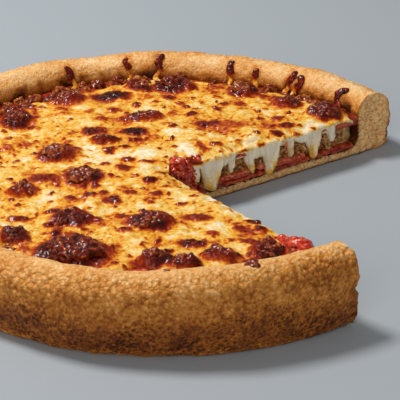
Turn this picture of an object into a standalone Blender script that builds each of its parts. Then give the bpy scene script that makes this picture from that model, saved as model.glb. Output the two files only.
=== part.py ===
"""A deep stuffed pizza with an open wedge, built from its real layers and toppings.

Units are metres, +Z is up. The origin is the centre of the round base, on the table.
The wedge opens towards +X. Seen from the front (along +Y) the near cut face runs from the
middle to the front right, and the far cut face from the middle to the back right.

From the table up: dough floor and puffed wall, tomato sauce, sausage filling with pepperoni
in it, pepperoni slices, and a sheet of baked cheese with toppings sunk into it.
"""

import math
import random

import bmesh
import bpy
from mathutils import Matrix, Vector, noise

MM = 0.001

# Dough: a flat floor and a rolled, puffed wall
FLOOR_THICK = 5.0 * MM
FOOT_RADIUS = 146 * MM
ROLL_RADIUS = 12.0 * MM
ROLL_CENTRE_RADIUS = 137.3 * MM
ROLL_CENTRE_HEIGHT = 25.4 * MM
WALL_STEPS = 72
# Waves of the hand-shaped wall: waves round the pizza, then cosine and sine amounts in mm
RIM_WAVES = ((0, 0.1, 0), (1, 1.5, 0), (2, 0.9, -1.3), (3, 0.8, 1.2), (7, 0.3, -0.15), (13, 0, 0.25))
CREST_WAVES = ((0, 0.3, 0), (1, 0, -1.65), (2, -0.6, -1.0), (3, -0.9, 0), (9, 0.15, 0.3), (16, 0, 0.25))

# Layers inside the wall
LAYER_GAP = 0.3 * MM
SAUCE_RADIUS = 124.0 * MM
SAUCE_TOP = 7.6 * MM
FILLING_RADIUS = 124.4 * MM
FILLING_BOTTOM = SAUCE_TOP + LAYER_GAP
FILLING_TOP = 19.0 * MM
CHEESE_RADIUS = 124.4 * MM
CHEESE_BOTTOM = FILLING_TOP + 0.4 * MM
CHEESE_TOP = 27.0 * MM
CHEESE_RING = 9.4 * MM
LIP_BOTTOM = 23.3 * MM

# The open wedge
CUT_TIP = Vector((-2.0, -6.0, 0.0)) * MM
NEAR_CUT = math.radians(-50.3)
FAR_CUT = math.radians(34.3)
CUT_REACH = 260.0 * MM
SAUCE_SETBACK = 0.5 * MM
FILLING_SETBACK = 4.0 * MM
CRUMB_SETBACK = 0.4 * MM
PEPPERONI_SETBACK = 0.2 * MM
CHEESE_LIP = 1.5 * MM
LIP_WAVE = 1.1 * MM
WAVE_LENGTH = 9.0 * MM

# Toppings
PEPPERONI_RADIUS = 17.0 * MM
PEPPERONI_THICK = 2.4 * MM
PEPPERONI_SIDES = 24
POCKET_GAP = 0.35 * MM
UPPER_PEPPERONI_HEIGHT = 21.5 * MM
LOWER_PEPPERONI_HEIGHT = 9.95 * MM
CRUMB_SIZE = 9.5 * MM
CRUMB_SPACING = 8.6 * MM
CRUMB_ROWS = (11.0 * MM, 15.9 * MM)
DRIP_TOP = 25.0 * MM
DRIP_THICK = 2.5 * MM
DRIP_GAP = 0.25 * MM

# Distance from the tip along the cut and depth behind it of each pepperoni slice's middle, in mm
UPPER_PEPPERONI = {
    "far": ((24, 9), (60, 8), (96, 10)),
    "near": ((28, 10), (64, 8), (100, 9)),
}
LOWER_PEPPERONI = {
    "far": ((42, 9), (80, 8)),
    "near": ((47, 9), (86, 10)),
}

# Distance from the tip, width and length of each cheese drip, in mm
DRIPS = {
    "far": (
        (31, 12, 19), (44, 4, 12), (57, 3, 16),
        (71, 9, 21), (84, 3, 13), (100, 7, 18), (112, 4, 11),
    ),
    "near": (
        (18, 5, 13), (30, 4, 17), (50, 8, 20),
        (66, 3, 13), (81, 7, 18), (106, 5, 13),
    ),
}

# Sausage that breaks through the cheese: x, y, length, width and height in mm, turn in degrees
SAUSAGE_PIECES = (
    (-58, 12, 17, 15, 11, 20),
    (-42, -17, 19, 13, 9, 15),
    (-72, -31, 13, 12, 8, 0),
    (-41, -97, 36, 24, 16, -12),
    (-72, -82, 14, 11, 9, 50),
    (-11, 61, 18, 11, 7, 5),
    (-84, 57, 19, 14, 9, 60),
    (-34, 29, 14, 9, 7, 0),
    (3, 105, 20, 15, 11, -5),
    (-17, 103, 13, 11, 8, 10),
    (-57, 86, 19, 12, 8, 35),
    (88, 68, 18, 13, 10, -50),
    (68, 80, 17, 10, 8, -35),
    (44, 100, 16, 14, 9, -20),
    (50, -94, 15, 14, 8.5, 30),
    (28, -99, 14, 11, 9, -15),
    (-5, -66, 23, 12, 8, 28),
    (-3, -103, 13, 11, 9, 0),
    (12, -106, 13, 10, 9, 20),
    (-45, -63, 18, 10, 7, 35),
)
TOMATO_PIECE = (66, -92, 15, 10, 10, -55)

# Shreds of cheese baked on the inside of the wall: the angle round the pizza and
# the angle up the roll in degrees, and the length in mm
BAKED_SHREDS = (
    (117, 128, 9), (101, 118, 8), (93, 112, 11), (73, 120, 9), (66, 138, 7),
    (56, 122, 10), (53, 132, 9), (40, 126, 12), (148, 132, 8), (-72, 108, 9),
)


def smoothstep(low, high, value):
    t = min(1.0, max(0.0, (value - low) / (high - low)))
    return t * t * (3 - 2 * t)


def new_collection(name):
    made = bpy.data.collections.new(name)
    bpy.context.scene.collection.children.link(made)
    return made


def new_object(name, mesh, place):
    obj = bpy.data.objects.new(name, mesh)
    place.objects.link(obj)
    return obj


def food_material(name, colour, roughness):
    made = bpy.data.materials.new(name)
    made.use_nodes = True
    shader = made.node_tree.nodes["Principled BSDF"]
    shader.inputs["Base Color"].default_value = (*colour, 1.0)
    shader.inputs["Roughness"].default_value = roughness
    shader.inputs["Metallic"].default_value = 0.0
    return made


def bake(obj):
    """Replaces the object's mesh with what its modifiers make of it."""
    bpy.context.view_layer.update()
    graph = bpy.context.evaluated_depsgraph_get()
    mesh = bpy.data.meshes.new_from_object(obj.evaluated_get(graph))
    obj.modifiers.clear()
    obj.data = mesh


def remove_all(objects):
    for obj in list(objects):
        bpy.data.objects.remove(obj)


def wave(angle, terms):
    """A sum of slow waves round the pizza: each term is a number of waves and two amounts in mm."""
    total = sum(c * math.cos(n * angle) + s * math.sin(n * angle) for n, c, s in terms)
    return total * MM


def rim_wave(angle):
    """How far the hand-shaped wall strays from a true circle."""
    return wave(angle, RIM_WAVES)


def crest_wave(angle):
    """How far the top of the wall strays from level."""
    return wave(angle, CREST_WAVES)


def hand_shaped(point):
    """Moves a point of the true turned shape to where the hand-shaped dough has it."""
    radius = math.hypot(point.x, point.y)
    angle = math.atan2(point.y, point.x)
    outward = rim_wave(angle) * smoothstep(100 * MM, 124 * MM, radius)
    upward = crest_wave(angle) * smoothstep(121 * MM, 137 * MM, radius)
    upward *= smoothstep(3 * MM, 37 * MM, point.z)
    stretch = (radius + outward) / max(radius, MM)
    return Vector((point.x * stretch, point.y * stretch, point.z + upward))


def cheese_relief(x, y):
    """Height of the baked cheese above its mean level at a place, before toppings."""
    broad = 1.3 * noise.noise(Vector((x / (26 * MM), y / (26 * MM), 3.7)))
    small = 0.8 * noise.noise(Vector((x / (11 * MM), y / (11 * MM), 8.2)))
    radius = math.hypot(x, y)
    middle = 0.8 * (1 - smoothstep(0, 90 * MM, radius))
    edge = -1.4 * smoothstep(108 * MM, 122 * MM, radius)
    return (broad + small + middle + edge) * MM


def cut_frame(side):
    """The tip, the direction outwards and the direction into the gap of one cut face."""
    angle = NEAR_CUT if side == "near" else FAR_CUT
    along = Vector((math.cos(angle), math.sin(angle), 0))
    turn = 1 if side == "near" else -1
    return along, Vector((-along.y * turn, along.x * turn, 0))


def at_cut(side, distance, proud, height):
    """A point by its distance from the tip, how far it stands in the gap, and its height."""
    along, outward = cut_frame(side)
    return CUT_TIP + along * distance + outward * proud + Vector((0, 0, height))


def turned(name, profile, steps, place):
    """A solid turned about +Z from a profile that starts on the axis, goes out and comes back."""
    mesh = bpy.data.meshes.new(name)
    points = [(radius, 0, height) for radius, height in profile]
    mesh.from_pydata(points, [(i, i + 1) for i in range(len(points) - 1)], [])
    obj = new_object(name, mesh, place)
    screw = obj.modifiers.new("turn", "SCREW")
    screw.steps = screw.render_steps = steps
    screw.use_merge_vertices = True
    screw.merge_threshold = 0.01 * MM
    bake(obj)
    return obj


def move_points(obj, rule):
    for vertex in obj.data.vertices:
        vertex.co = rule(vertex.co)
    obj.data.update()


def combine(obj, operation, others, solver="EXACT"):
    """Joins the objects of a collection to the object or cuts them from it, then removes them."""
    boolean = obj.modifiers.new(operation, "BOOLEAN")
    boolean.operation = operation
    boolean.solver = solver
    boolean.operand_type = "COLLECTION"
    boolean.collection = others
    bake(obj)
    remove_all(others.objects)
    bpy.data.collections.remove(others)


def knife(place, setback, wave=0.0, top=60 * MM):
    """A block that fills the open wedge, its faces moved into the pizza by the setback.

    A wave makes the faces stray to both sides, as soft cheese does along a cut.
    """
    middle = (NEAR_CUT + FAR_CUT) / 2
    half = (FAR_CUT - NEAR_CUT) / 2
    back = Vector((math.cos(middle), math.sin(middle), 0)) * (setback / math.sin(half))
    steps = max(1, round(wave and CUT_REACH / WAVE_LENGTH * 2))

    def edge(side):
        along, outward = cut_frame(side)
        points = []
        for step in range(1, steps + 1):
            distance = CUT_REACH * step / steps
            stray = wave * noise.noise(Vector((distance / WAVE_LENGTH, len(side), 0.3)))
            points.append(CUT_TIP - back + along * distance + outward * stray)
        return points

    bm = bmesh.new()
    outline = [CUT_TIP - back, *edge("near"), *reversed(edge("far"))]
    face = bm.faces.new([bm.verts.new(point - Vector((0, 0, 20 * MM))) for point in outline])
    side = bmesh.ops.extrude_face_region(bm, geom=[face])["geom"]
    raised = [part for part in side if isinstance(part, bmesh.types.BMVert)]
    bmesh.ops.translate(bm, verts=raised, vec=(0, 0, 20 * MM + top))
    bmesh.ops.recalc_face_normals(bm, faces=bm.faces)
    mesh = bpy.data.meshes.new("knife")
    bm.to_mesh(mesh)
    bm.free()
    cutter = new_object("knife", mesh, place)
    cutter.hide_render = True
    cutter.display_type = "WIRE"
    return cutter


def cut_wedge(obj, setback, wave=0.0, top=60 * MM):
    cutters = new_collection("knives")
    knife(cutters, setback, wave, top)
    combine(obj, "DIFFERENCE", cutters)


def chunk(name, place, size, crags, seed, divisions=2):
    """A craggy lump of about the given length, width and height, in metres."""
    bm = bmesh.new()
    bmesh.ops.create_icosphere(bm, subdivisions=divisions, radius=0.5)
    drift = Vector((seed * 7.3, seed * 3.1, seed * 5.7))
    for vertex in bm.verts:
        swell = 1 + crags * noise.noise(vertex.co * 4.2 + drift)
        vertex.co = Vector([vertex.co[i] * size[i] * swell for i in range(3)])
    mesh = bpy.data.meshes.new(name)
    bm.to_mesh(mesh)
    bm.free()
    return new_object(name, mesh, place)


def face_outwards(obj):
    bm = bmesh.new()
    bm.from_mesh(obj.data)
    bmesh.ops.recalc_face_normals(bm, faces=bm.faces)
    bm.to_mesh(obj.data)
    bm.free()


def swollen_copy(obj, gap, place):
    """A copy of a closed solid with its surface moved out by the gap, to cut a pocket for it."""
    bpy.context.view_layer.update()
    mesh = obj.data.copy()
    bm = bmesh.new()
    bm.from_mesh(mesh)
    bmesh.ops.remove_doubles(bm, verts=bm.verts, dist=0.01 * MM)
    bmesh.ops.triangulate(bm, faces=bm.faces)
    bm.normal_update()
    moved = {vertex: vertex.co + outward_shift(vertex, gap) for vertex in bm.verts}
    for vertex, point in moved.items():
        vertex.co = point
    bm.to_mesh(mesh)
    bm.free()
    pocket = new_object(obj.name + "_pocket", mesh, place)
    pocket.matrix_world = obj.matrix_world
    return pocket


def outward_shift(vertex, gap):
    """The move that takes each flat side at a vertex out by the gap."""
    shift = Vector()
    for _ in range(12):
        for face in vertex.link_faces:
            short = gap - shift.dot(face.normal)
            if short > 0:
                shift += face.normal * short
    return shift


def crust_profile():
    """Section of the dough: out along the floor, up the wall, over the crest and back below."""
    floor = [(0, FLOOR_THICK), (62 * MM, FLOOR_THICK), (118 * MM, FLOOR_THICK)]
    inside = [(124.6 * MM, 6.2 * MM), (126.4 * MM, 11 * MM), (125.9 * MM, 18.5 * MM)]
    roll = []
    for step in range(9):
        angle = math.radians(176 - 22 * step)
        out = ROLL_CENTRE_RADIUS + ROLL_RADIUS * math.cos(angle)
        up = ROLL_CENTRE_HEIGHT + ROLL_RADIUS * math.sin(angle)
        roll.append((out, up))
    outside = [(150.2 * MM, 19.5 * MM), (149.9 * MM, 12 * MM), (148.9 * MM, 5 * MM), (147.6 * MM, 1.2 * MM)]
    under = [(FOOT_RADIUS, 0), (100 * MM, 0), (48 * MM, 0), (0, 0)]
    return floor + inside + roll + outside + under


def make_crust(food):
    crust = turned("crust", crust_profile(), WALL_STEPS, food)
    move_points(crust, hand_shaped)
    cut_wedge(crust, 0)
    shreds = new_collection("shreds")
    for number, (angle, up, length) in enumerate(BAKED_SHREDS):
        baked_shred(shreds, number, math.radians(angle), math.radians(up), length * MM)
    combine(crust, "UNION", shreds)
    return crust


def baked_shred(place, number, angle, up, length):
    """A shred of cheese that ran up the inside of the wall, lies round the roll and browned there."""
    shred = chunk(f"shred_{number}", place, (length, 3.6 * MM, 2.4 * MM), 0.25, number + 40, 1)
    for vertex in shred.data.vertices:
        along, across, over = vertex.co
        turn = up + along / ROLL_RADIUS
        out = ROLL_CENTRE_RADIUS + (ROLL_RADIUS + over) * math.cos(turn)
        height = ROLL_CENTRE_HEIGHT + (ROLL_RADIUS + over) * math.sin(turn)
        vertex.co = hand_shaped(Matrix.Rotation(angle + across / out, 3, "Z") @ Vector((out, 0, height)))
    face_outwards(shred)


def make_sauce(food):
    profile = [
        (0, SAUCE_TOP),
        (60 * MM, SAUCE_TOP),
        (SAUCE_RADIUS - 1.2 * MM, SAUCE_TOP),
        (SAUCE_RADIUS - 1.2 * MM, FLOOR_THICK + 1.5 * MM),
        (117 * MM, FLOOR_THICK + LAYER_GAP),
        (60 * MM, FLOOR_THICK + LAYER_GAP),
        (0, FLOOR_THICK + LAYER_GAP),
    ]
    sauce = turned("tomato_sauce", profile, 48, food)
    move_points(sauce, hand_shaped)
    cut_wedge(sauce, SAUCE_SETBACK)
    return sauce


def make_pepperoni(food, name, side, place, height, tilt):
    """One pepperoni slice lying flat in the layers, cut through by the same knife."""
    distance, depth = place
    bm = bmesh.new()
    bmesh.ops.create_cone(
        bm,
        cap_ends=True,
        segments=PEPPERONI_SIDES,
        radius1=PEPPERONI_RADIUS,
        radius2=PEPPERONI_RADIUS - 0.6 * MM,
        depth=PEPPERONI_THICK,
    )
    mesh = bpy.data.meshes.new(name)
    bm.to_mesh(mesh)
    bm.free()
    pepperoni = new_object(name, mesh, food)
    pepperoni.location = at_cut(side, distance * MM, -depth * MM, height)
    pepperoni.rotation_euler = Matrix.Rotation(math.radians(tilt), 3, cut_frame(side)[1]).to_euler()
    cut_wedge(pepperoni, PEPPERONI_SETBACK)
    return pepperoni


def pepperoni_slices(food, layer, places, height):
    """Every slice of one layer, tilted a little to one side and the other in turn."""
    made = []
    for side, row in places.items():
        for number, place in enumerate(row, 1):
            tilt = 2.0 if number % 2 else -1.6
            name = f"pepperoni_{layer}_{side}_{number}"
            made.append(make_pepperoni(food, name, side, place, height, tilt))
    return made


def crumb_places(side, draw):
    """Where sausage crumbs break out of one cut face: distance, height and size of each."""
    places = []
    for row, height in enumerate(CRUMB_ROWS):
        distance = 13 * MM + row * CRUMB_SPACING / 2
        while distance < FILLING_RADIUS - 6 * MM:
            size = CRUMB_SIZE * draw.uniform(0.72, 1.05)
            places.append((distance, height + draw.uniform(-0.4, 0.4) * MM, size))
            distance += CRUMB_SPACING * draw.uniform(0.85, 1.2)
    return places


def make_filling(food, lower_slices):
    profile = [
        (0, FILLING_TOP),
        (60 * MM, FILLING_TOP),
        (FILLING_RADIUS - 0.8 * MM, FILLING_TOP),
        (FILLING_RADIUS, 14 * MM),
        (FILLING_RADIUS - 0.8 * MM, FILLING_BOTTOM),
        (60 * MM, FILLING_BOTTOM),
        (0, FILLING_BOTTOM),
    ]
    filling = turned("sausage_filling", profile, 48, food)
    move_points(filling, hand_shaped)
    cut_wedge(filling, FILLING_SETBACK)
    draw = random.Random(5)
    crumbs = new_collection("crumbs")
    for side in ("near", "far"):
        for number, (distance, height, size) in enumerate(crumb_places(side, draw)):
            depth = size / 2 + CRUMB_SETBACK
            room = min(height - FILLING_BOTTOM, FILLING_TOP - height) - 0.2 * MM
            tall = min(size, 2 * room / 1.1)
            seed = number + 9 * draw.random()
            crumb = chunk("crumb", crumbs, (size * 0.92, size * 0.92, tall), 0.28, seed, 1)
            crumb.location = at_cut(side, distance, -depth, height)
    combine(filling, "UNION", crumbs)
    pockets = new_collection("pockets")
    for pepperoni in lower_slices:
        swollen_copy(pepperoni, POCKET_GAP, pockets)
    combine(filling, "DIFFERENCE", pockets)
    return filling


def make_topping(food, name, place, seed, crags):
    """A lump that sits a little under half sunk in the cheese."""
    x, y, length, width, height, turn = place
    size = (length * MM, width * MM, height * MM)
    topping = chunk(name, food, size, crags, seed)
    level = CHEESE_TOP + cheese_relief(x * MM, y * MM)
    topping.location = hand_shaped(Vector((x * MM, y * MM, level + 0.12 * size[2])))
    topping.rotation_euler.z = math.radians(turn)
    return topping


def cheese_profile():
    """Section of the cheese sheet: a fine top to carry the relief, and a plain flat bottom."""
    top = [(0, CHEESE_TOP)]
    rings = round((CHEESE_RADIUS - 2 * MM) / CHEESE_RING)
    for ring in range(1, rings + 1):
        top.append((ring * (CHEESE_RADIUS - 2 * MM) / rings, CHEESE_TOP))
    side = [(CHEESE_RADIUS, CHEESE_TOP - 1.5 * MM), (CHEESE_RADIUS, 22.5 * MM)]
    bottom = [(CHEESE_RADIUS - 1 * MM, CHEESE_BOTTOM), (62 * MM, CHEESE_BOTTOM), (0, CHEESE_BOTTOM)]
    return top + side + bottom


def baked_cheese(point):
    """Gives the top of the sheet its relief and lets it sag beside the cut."""
    if point.z < CHEESE_TOP - 2 * MM:
        return hand_shaped(point)
    raised = Vector((point.x, point.y, point.z + cheese_relief(point.x, point.y)))
    return hand_shaped(raised)


def make_drip(place, side, distance, width, length, seed):
    """A tongue of melted cheese that hangs from the lip in front of the cut face."""
    size = (width * 1.15 * MM, DRIP_THICK, length * MM)
    drip = chunk("drip", place, size, 0.3, seed)
    for vertex in drip.data.vertices:
        low = smoothstep(0.35, -0.5, vertex.co.z / size[2])
        vertex.co.x *= 1.15 - 0.5 * low
    outward = cut_frame(side)[1]
    drip.rotation_euler.z = math.atan2(-outward.x, outward.y)
    drip.location = at_cut(side, distance * MM, DRIP_THICK / 2 + DRIP_GAP, DRIP_TOP - size[2] / 2)


def make_cheese(food, sunk):
    cheese = turned("cheese", cheese_profile(), 64, food)
    move_points(cheese, baked_cheese)
    cut_wedge(cheese, -CHEESE_LIP, LIP_WAVE)
    cut_wedge(cheese, LAYER_GAP, top=LIP_BOTTOM)
    drips = new_collection("drips")
    for side, row in DRIPS.items():
        for number, (distance, width, length) in enumerate(row):
            make_drip(drips, side, distance, width, length, number + len(side) * 10)
    combine(cheese, "UNION", drips)
    pockets = new_collection("pockets")
    for obj in sunk:
        swollen_copy(obj, POCKET_GAP, pockets)
    combine(cheese, "DIFFERENCE", pockets)
    return cheese


def finish(obj, material, smooth_angle=40):
    obj.data.materials.clear()
    obj.data.materials.append(material)
    obj.data.shade_smooth()
    obj.data.set_sharp_from_angle(angle=math.radians(smooth_angle))


def main():
    remove_all(bpy.data.objects)
    food = new_collection("stuffed_pizza")

    dough = food_material("baked_dough", (0.55, 0.27, 0.085), 0.7)
    sauce = food_material("tomato_sauce", (0.35, 0.035, 0.012), 0.35)
    sausage = food_material("ground_sausage", (0.30, 0.15, 0.065), 0.5)
    browned = food_material("browned_sausage", (0.085, 0.022, 0.012), 0.35)
    melted = food_material("baked_cheese", (0.80, 0.52, 0.16), 0.35)
    cured = food_material("pepperoni", (0.42, 0.045, 0.02), 0.4)
    tomato = food_material("tomato", (0.55, 0.04, 0.02), 0.3)

    finish(make_crust(food), dough)
    finish(make_sauce(food), sauce)

    lower = pepperoni_slices(food, "lower", LOWER_PEPPERONI, LOWER_PEPPERONI_HEIGHT)
    upper = pepperoni_slices(food, "upper", UPPER_PEPPERONI, UPPER_PEPPERONI_HEIGHT)
    finish(make_filling(food, lower), sausage)

    toppings = []
    for number, place in enumerate(SAUSAGE_PIECES, 1):
        name = f"sausage_piece_{number:02d}"
        toppings.append(make_topping(food, name, place, number, 0.42))
    for topping in toppings:
        finish(topping, browned)
    piece = make_topping(food, "tomato_piece", TOMATO_PIECE, 31, 0.3)
    finish(piece, tomato)

    finish(make_cheese(food, [*upper, *toppings, piece]), melted)
    for pepperoni in [*lower, *upper]:
        finish(pepperoni, cured)


main()
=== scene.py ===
# %% [markdown]
# A deep stuffed pizza, baked, with an open wedge.
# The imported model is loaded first. It is the frame: it says where every layer is, in metres,
# and the pieces made here take its place on the same spot with the finish of real food.

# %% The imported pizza
import math

import bmesh
import bpy
import numpy as np
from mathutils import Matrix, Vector, noise
from mathutils.geometry import delaunay_2d_cdt
from mathutils.kdtree import KDTree


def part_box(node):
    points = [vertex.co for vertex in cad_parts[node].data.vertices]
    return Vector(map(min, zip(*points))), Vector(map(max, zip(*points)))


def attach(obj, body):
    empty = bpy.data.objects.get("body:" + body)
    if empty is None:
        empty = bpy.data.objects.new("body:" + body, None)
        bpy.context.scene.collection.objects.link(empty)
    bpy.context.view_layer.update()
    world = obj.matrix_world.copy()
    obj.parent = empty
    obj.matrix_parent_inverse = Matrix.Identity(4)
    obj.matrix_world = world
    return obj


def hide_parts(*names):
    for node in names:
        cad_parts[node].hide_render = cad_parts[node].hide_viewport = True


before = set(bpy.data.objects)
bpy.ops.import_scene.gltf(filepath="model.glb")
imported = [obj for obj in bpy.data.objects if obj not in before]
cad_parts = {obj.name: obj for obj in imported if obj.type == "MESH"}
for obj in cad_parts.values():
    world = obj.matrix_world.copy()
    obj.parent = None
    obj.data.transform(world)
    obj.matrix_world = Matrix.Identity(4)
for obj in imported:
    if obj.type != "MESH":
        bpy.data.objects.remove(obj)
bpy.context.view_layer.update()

print(len(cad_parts), "solids in the frame")

# %% [markdown]
# Dough, cheese and meat are lumpy at every size, so one kind of noise shapes nearly all of them.
# Blender's own noise works on one point at a time. Written with numpy it takes a whole mesh at
# once, which keeps meshes of a hundred thousand points quick. All lengths below are in mm.

# %% Noise for whole meshes
MM = 0.001


def hashed(cells, seed):
    """A fixed draw from 0 to 1 for each whole-numbered cell."""
    x, y, z = (cells[..., axis].astype(np.int64) for axis in range(3))
    mixed = (x * 73856093 ^ y * 19349663 ^ z * 83492791 ^ (seed + 1) * 2654435761) & 0xFFFFFFFF
    mixed = ((mixed ^ (mixed >> 15)) * 2246822519) & 0xFFFFFFFF
    mixed = ((mixed ^ (mixed >> 13)) * 3266489917) & 0xFFFFFFFF
    return (mixed ^ (mixed >> 16)) / 0xFFFFFFFF


def lumps(points, size, seed):
    """Smooth lumps of about one size, from -1 to 1."""
    scaled = np.asarray(points, float) / size + seed * 17.31
    cell = np.floor(scaled)
    inside = scaled - cell
    fade = inside**3 * (inside * (inside * 6 - 15) + 10)
    total = np.zeros(len(scaled))
    for corner in np.ndindex(2, 2, 2):
        turn = hashed(cell + corner, seed) * 2 * math.pi
        rise = hashed(cell + corner, seed + 91) * 2 - 1
        flat = np.sqrt(1 - rise**2)
        slope = np.column_stack([flat * np.cos(turn), flat * np.sin(turn), rise])
        weight = np.prod(np.where(corner, fade, 1 - fade), axis=1)
        total += weight * (slope * (inside - corner)).sum(1)
    return np.clip(total * 1.7, -1, 1)


def grains(points, size, seed):
    """Distance to the nearest of many scattered seeds, over their spacing: 0 at a seed."""
    scaled = np.asarray(points, float) / size
    cell = np.floor(scaled)
    nearest = np.full(len(scaled), 9.0)
    for shift in np.ndindex(3, 3, 3):
        home = cell + shift - 1
        spot = home + np.column_stack([hashed(home, seed + axis * 7) for axis in range(3)])
        nearest = np.minimum(nearest, ((scaled - spot) ** 2).sum(1))
    return np.sqrt(nearest)


def ease(low, high, value):
    """0 up to low, 1 from high on, with a soft change between."""
    share = np.clip((np.asarray(value, float) - low) / (high - low), 0, 1)
    return share * share * (3 - 2 * share)


sample = np.random.default_rng(1).uniform(0, 50, (1000, 3))
print(f"lumps of 5 mm run from {lumps(sample, 5, 1).min():.2f} to {lumps(sample, 5, 1).max():.2f}")

# %% [markdown]
# The wall was pressed up by hand, so it isn't a true circle or quite level. A few slow waves
# round the pizza give that shape, and the same waves bend everything that touches the wall.

# %% The hand-shaped round
# How many waves go round, and the cosine and sine part of each in mm: outward, then upward
RIM_WAVES = ((0, 0.1, 0), (1, 1.5, 0), (2, 0.9, -1.3), (3, 0.8, 1.2), (7, 0.3, -0.15), (13, 0, 0.25))
CREST_WAVES = ((0, 0.3, 0), (1, 0, -1.65), (2, -0.6, -1.0), (3, -0.9, 0), (9, 0.15, 0.3), (16, 0, 0.25))


def wave(angle, terms):
    return sum(c * np.cos(n * angle) + s * np.sin(n * angle) for n, c, s in terms)


def hand_shaped(points):
    """Moves points of a true round pizza to where the hand-shaped one has them."""
    radius = np.hypot(points[:, 0], points[:, 1])
    angle = np.arctan2(points[:, 1], points[:, 0])
    outward = wave(angle, RIM_WAVES) * ease(100, 124, radius)
    upward = wave(angle, CREST_WAVES) * ease(121, 137, radius) * ease(3, 37, points[:, 2])
    stretch = (radius + outward) / np.maximum(radius, 1)
    return np.column_stack([points[:, :2] * stretch[:, None], points[:, 2] + upward])


round_the_wall = np.linspace(0, 2 * math.pi, 361)
print(f"the wall strays {np.abs(wave(round_the_wall, RIM_WAVES)).max():.1f} mm from a circle at most")

# %% [markdown]
# Two knife cuts meet at a tip near the middle. Most places are given along a cut: the distance
# from the tip, how far the place stands in the open wedge, and its height.

# %% The two cuts
TIP = np.array([-2.0, -6.0])
CUT_ANGLE = {"far": math.radians(34.3), "near": math.radians(-50.3)}


def cut_frame(side):
    """The direction along a cut and the direction out of it, into the open wedge."""
    along = np.array([math.cos(CUT_ANGLE[side]), math.sin(CUT_ANGLE[side])])
    turn = 1 if side == "near" else -1
    return along, np.array([-along[1] * turn, along[0] * turn])


def at_cut(side, distance, proud, height):
    along, outward = cut_frame(side)
    distance, proud, height = np.broadcast_arrays(*np.atleast_1d(distance, proud, height))
    flat = TIP + distance[:, None] * along + proud[:, None] * outward
    return np.column_stack([flat, height])


def reach(side, radius):
    """Distance along a cut to where it is at this radius from the pizza's middle."""
    start = TIP @ cut_frame(side)[0]
    return -start + math.sqrt(start**2 - TIP @ TIP + radius**2)


def arc(radius, columns):
    """Flat points round the pizza at one radius, from the far cut to the near one."""
    ends = [at_cut(side, reach(side, radius), 0, 0)[0, :2] for side in ("far", "near")]
    first, last = (math.atan2(y, x) for x, y in ends)
    angle = np.linspace(first, last + 2 * math.pi, columns + 1)
    points = radius * np.column_stack([np.cos(angle), np.sin(angle)])
    points[0], points[-1] = ends
    return points


def behind_cut(flat):
    """Distance from flat places in the food to the open wedge, 0 in the wedge itself."""
    nearest = np.hypot(*(flat - TIP).T)
    in_wedge = np.ones(len(flat), bool)
    for side in CUT_ANGLE:
        along, outward = cut_frame(side)
        beside = (flat - TIP) @ along > 0
        depth = -((flat - TIP) @ outward)
        nearest = np.where(beside & (depth > -0.01), np.minimum(nearest, depth), nearest)
        in_wedge &= depth < 0
    return np.where(in_wedge, 0, np.maximum(nearest, 0))


print(f"cuts are {reach('far', 150):.0f} and {reach('near', 150):.0f} mm long")

# %% [markdown]
# Each layer is a closed skin sewn from patches: a flat outline filled with small triangles, and
# a quilt of rows and columns where it is bent. Patches share their edge points, and joining
# merges these. That gives an even, fine mesh whose every point can then be pushed by noise.

# %% Patches of skin
def quilt(rows, flip=False):
    """A patch from rows of points, with the same number in each."""
    count, width = rows.shape[:2]
    index = np.arange(count * width).reshape(count, width)
    a, b, c, d = index[:-1, :-1], index[:-1, 1:], index[1:, 1:], index[1:, :-1]
    halves = [np.stack(half, -1).reshape(-1, 3) for half in ((a, b, c), (a, c, d))]
    faces = np.concatenate(halves)
    return rows.reshape(-1, 3), faces[:, ::-1] if flip else faces


def filled(outline, spacing):
    """Fills a flat outline. Its points come first, then even, slightly uneven points inside."""
    draw = np.random.default_rng(len(outline))
    start, end = outline, np.roll(outline, -1, axis=0)
    edge = KDTree(len(outline))
    for number, (x, y) in enumerate(outline):
        edge.insert((x, y, 0), number)
    edge.balance()
    inner = []
    for row, y in enumerate(np.arange(start[:, 1].min() + spacing / 2, start[:, 1].max(), spacing * 0.87)):
        crosses = (start[:, 1] > y) != (end[:, 1] > y)
        share = (y - start[crosses, 1]) / (end[crosses, 1] - start[crosses, 1])
        crossings = np.sort(start[crosses, 0] + share * (end[crosses, 0] - start[crosses, 0]))
        for left, right in zip(crossings[::2], crossings[1::2]):
            first = math.ceil(left / spacing) + row % 2 / 2
            for x in np.arange(first * spacing, right, spacing):
                if edge.find((x, y, 0))[2] > spacing * 0.62:
                    inner.append((x, y) + draw.uniform(-0.14, 0.14, 2) * spacing)
    points = np.vstack([outline, *inner])
    ring = list(range(len(outline)))
    if (start[:, 0] * end[:, 1] - end[:, 0] * start[:, 1]).sum() < 0:
        ring.reverse()
    made = delaunay_2d_cdt([Vector(point) for point in points], [], [ring], 1, 1e-5)
    triangles, sources = made[2], made[3]
    first = np.array([source[0] for source in sources])
    return points, first[np.array([list(face) for face in triangles])]


square = np.array([(0.0, 0.0), (10.0, 0.0), (10.0, 10.0), (0.0, 10.0)])
print("a 10 mm square is filled with", len(filled(square, 1.0)[1]), "triangles")

# %% [markdown]
# Where two patches meet with rows of unequal length, a lace of triangles zigzags between them,
# always to the nearer next point. A push along the normals comes last, so these are needed too.

# %% Sewing patches
def laced(left, right):
    """A patch between two rows of points that start together and end together."""
    shares = []
    for row in (left, right):
        run = np.cumsum(np.linalg.norm(np.diff(row, axis=0), axis=1))
        shares.append(np.append(run / run[-1], 9))
    faces, i, j = [], 0, 0
    while i < len(left) - 1 or j < len(right) - 1:
        if shares[0][i] <= shares[1][j]:
            faces.append((i, i + 1, len(left) + j))
            i += 1
        else:
            faces.append((i, len(left) + j + 1, len(left) + j))
            j += 1
    return np.vstack([left, right]), np.array(faces)


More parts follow.
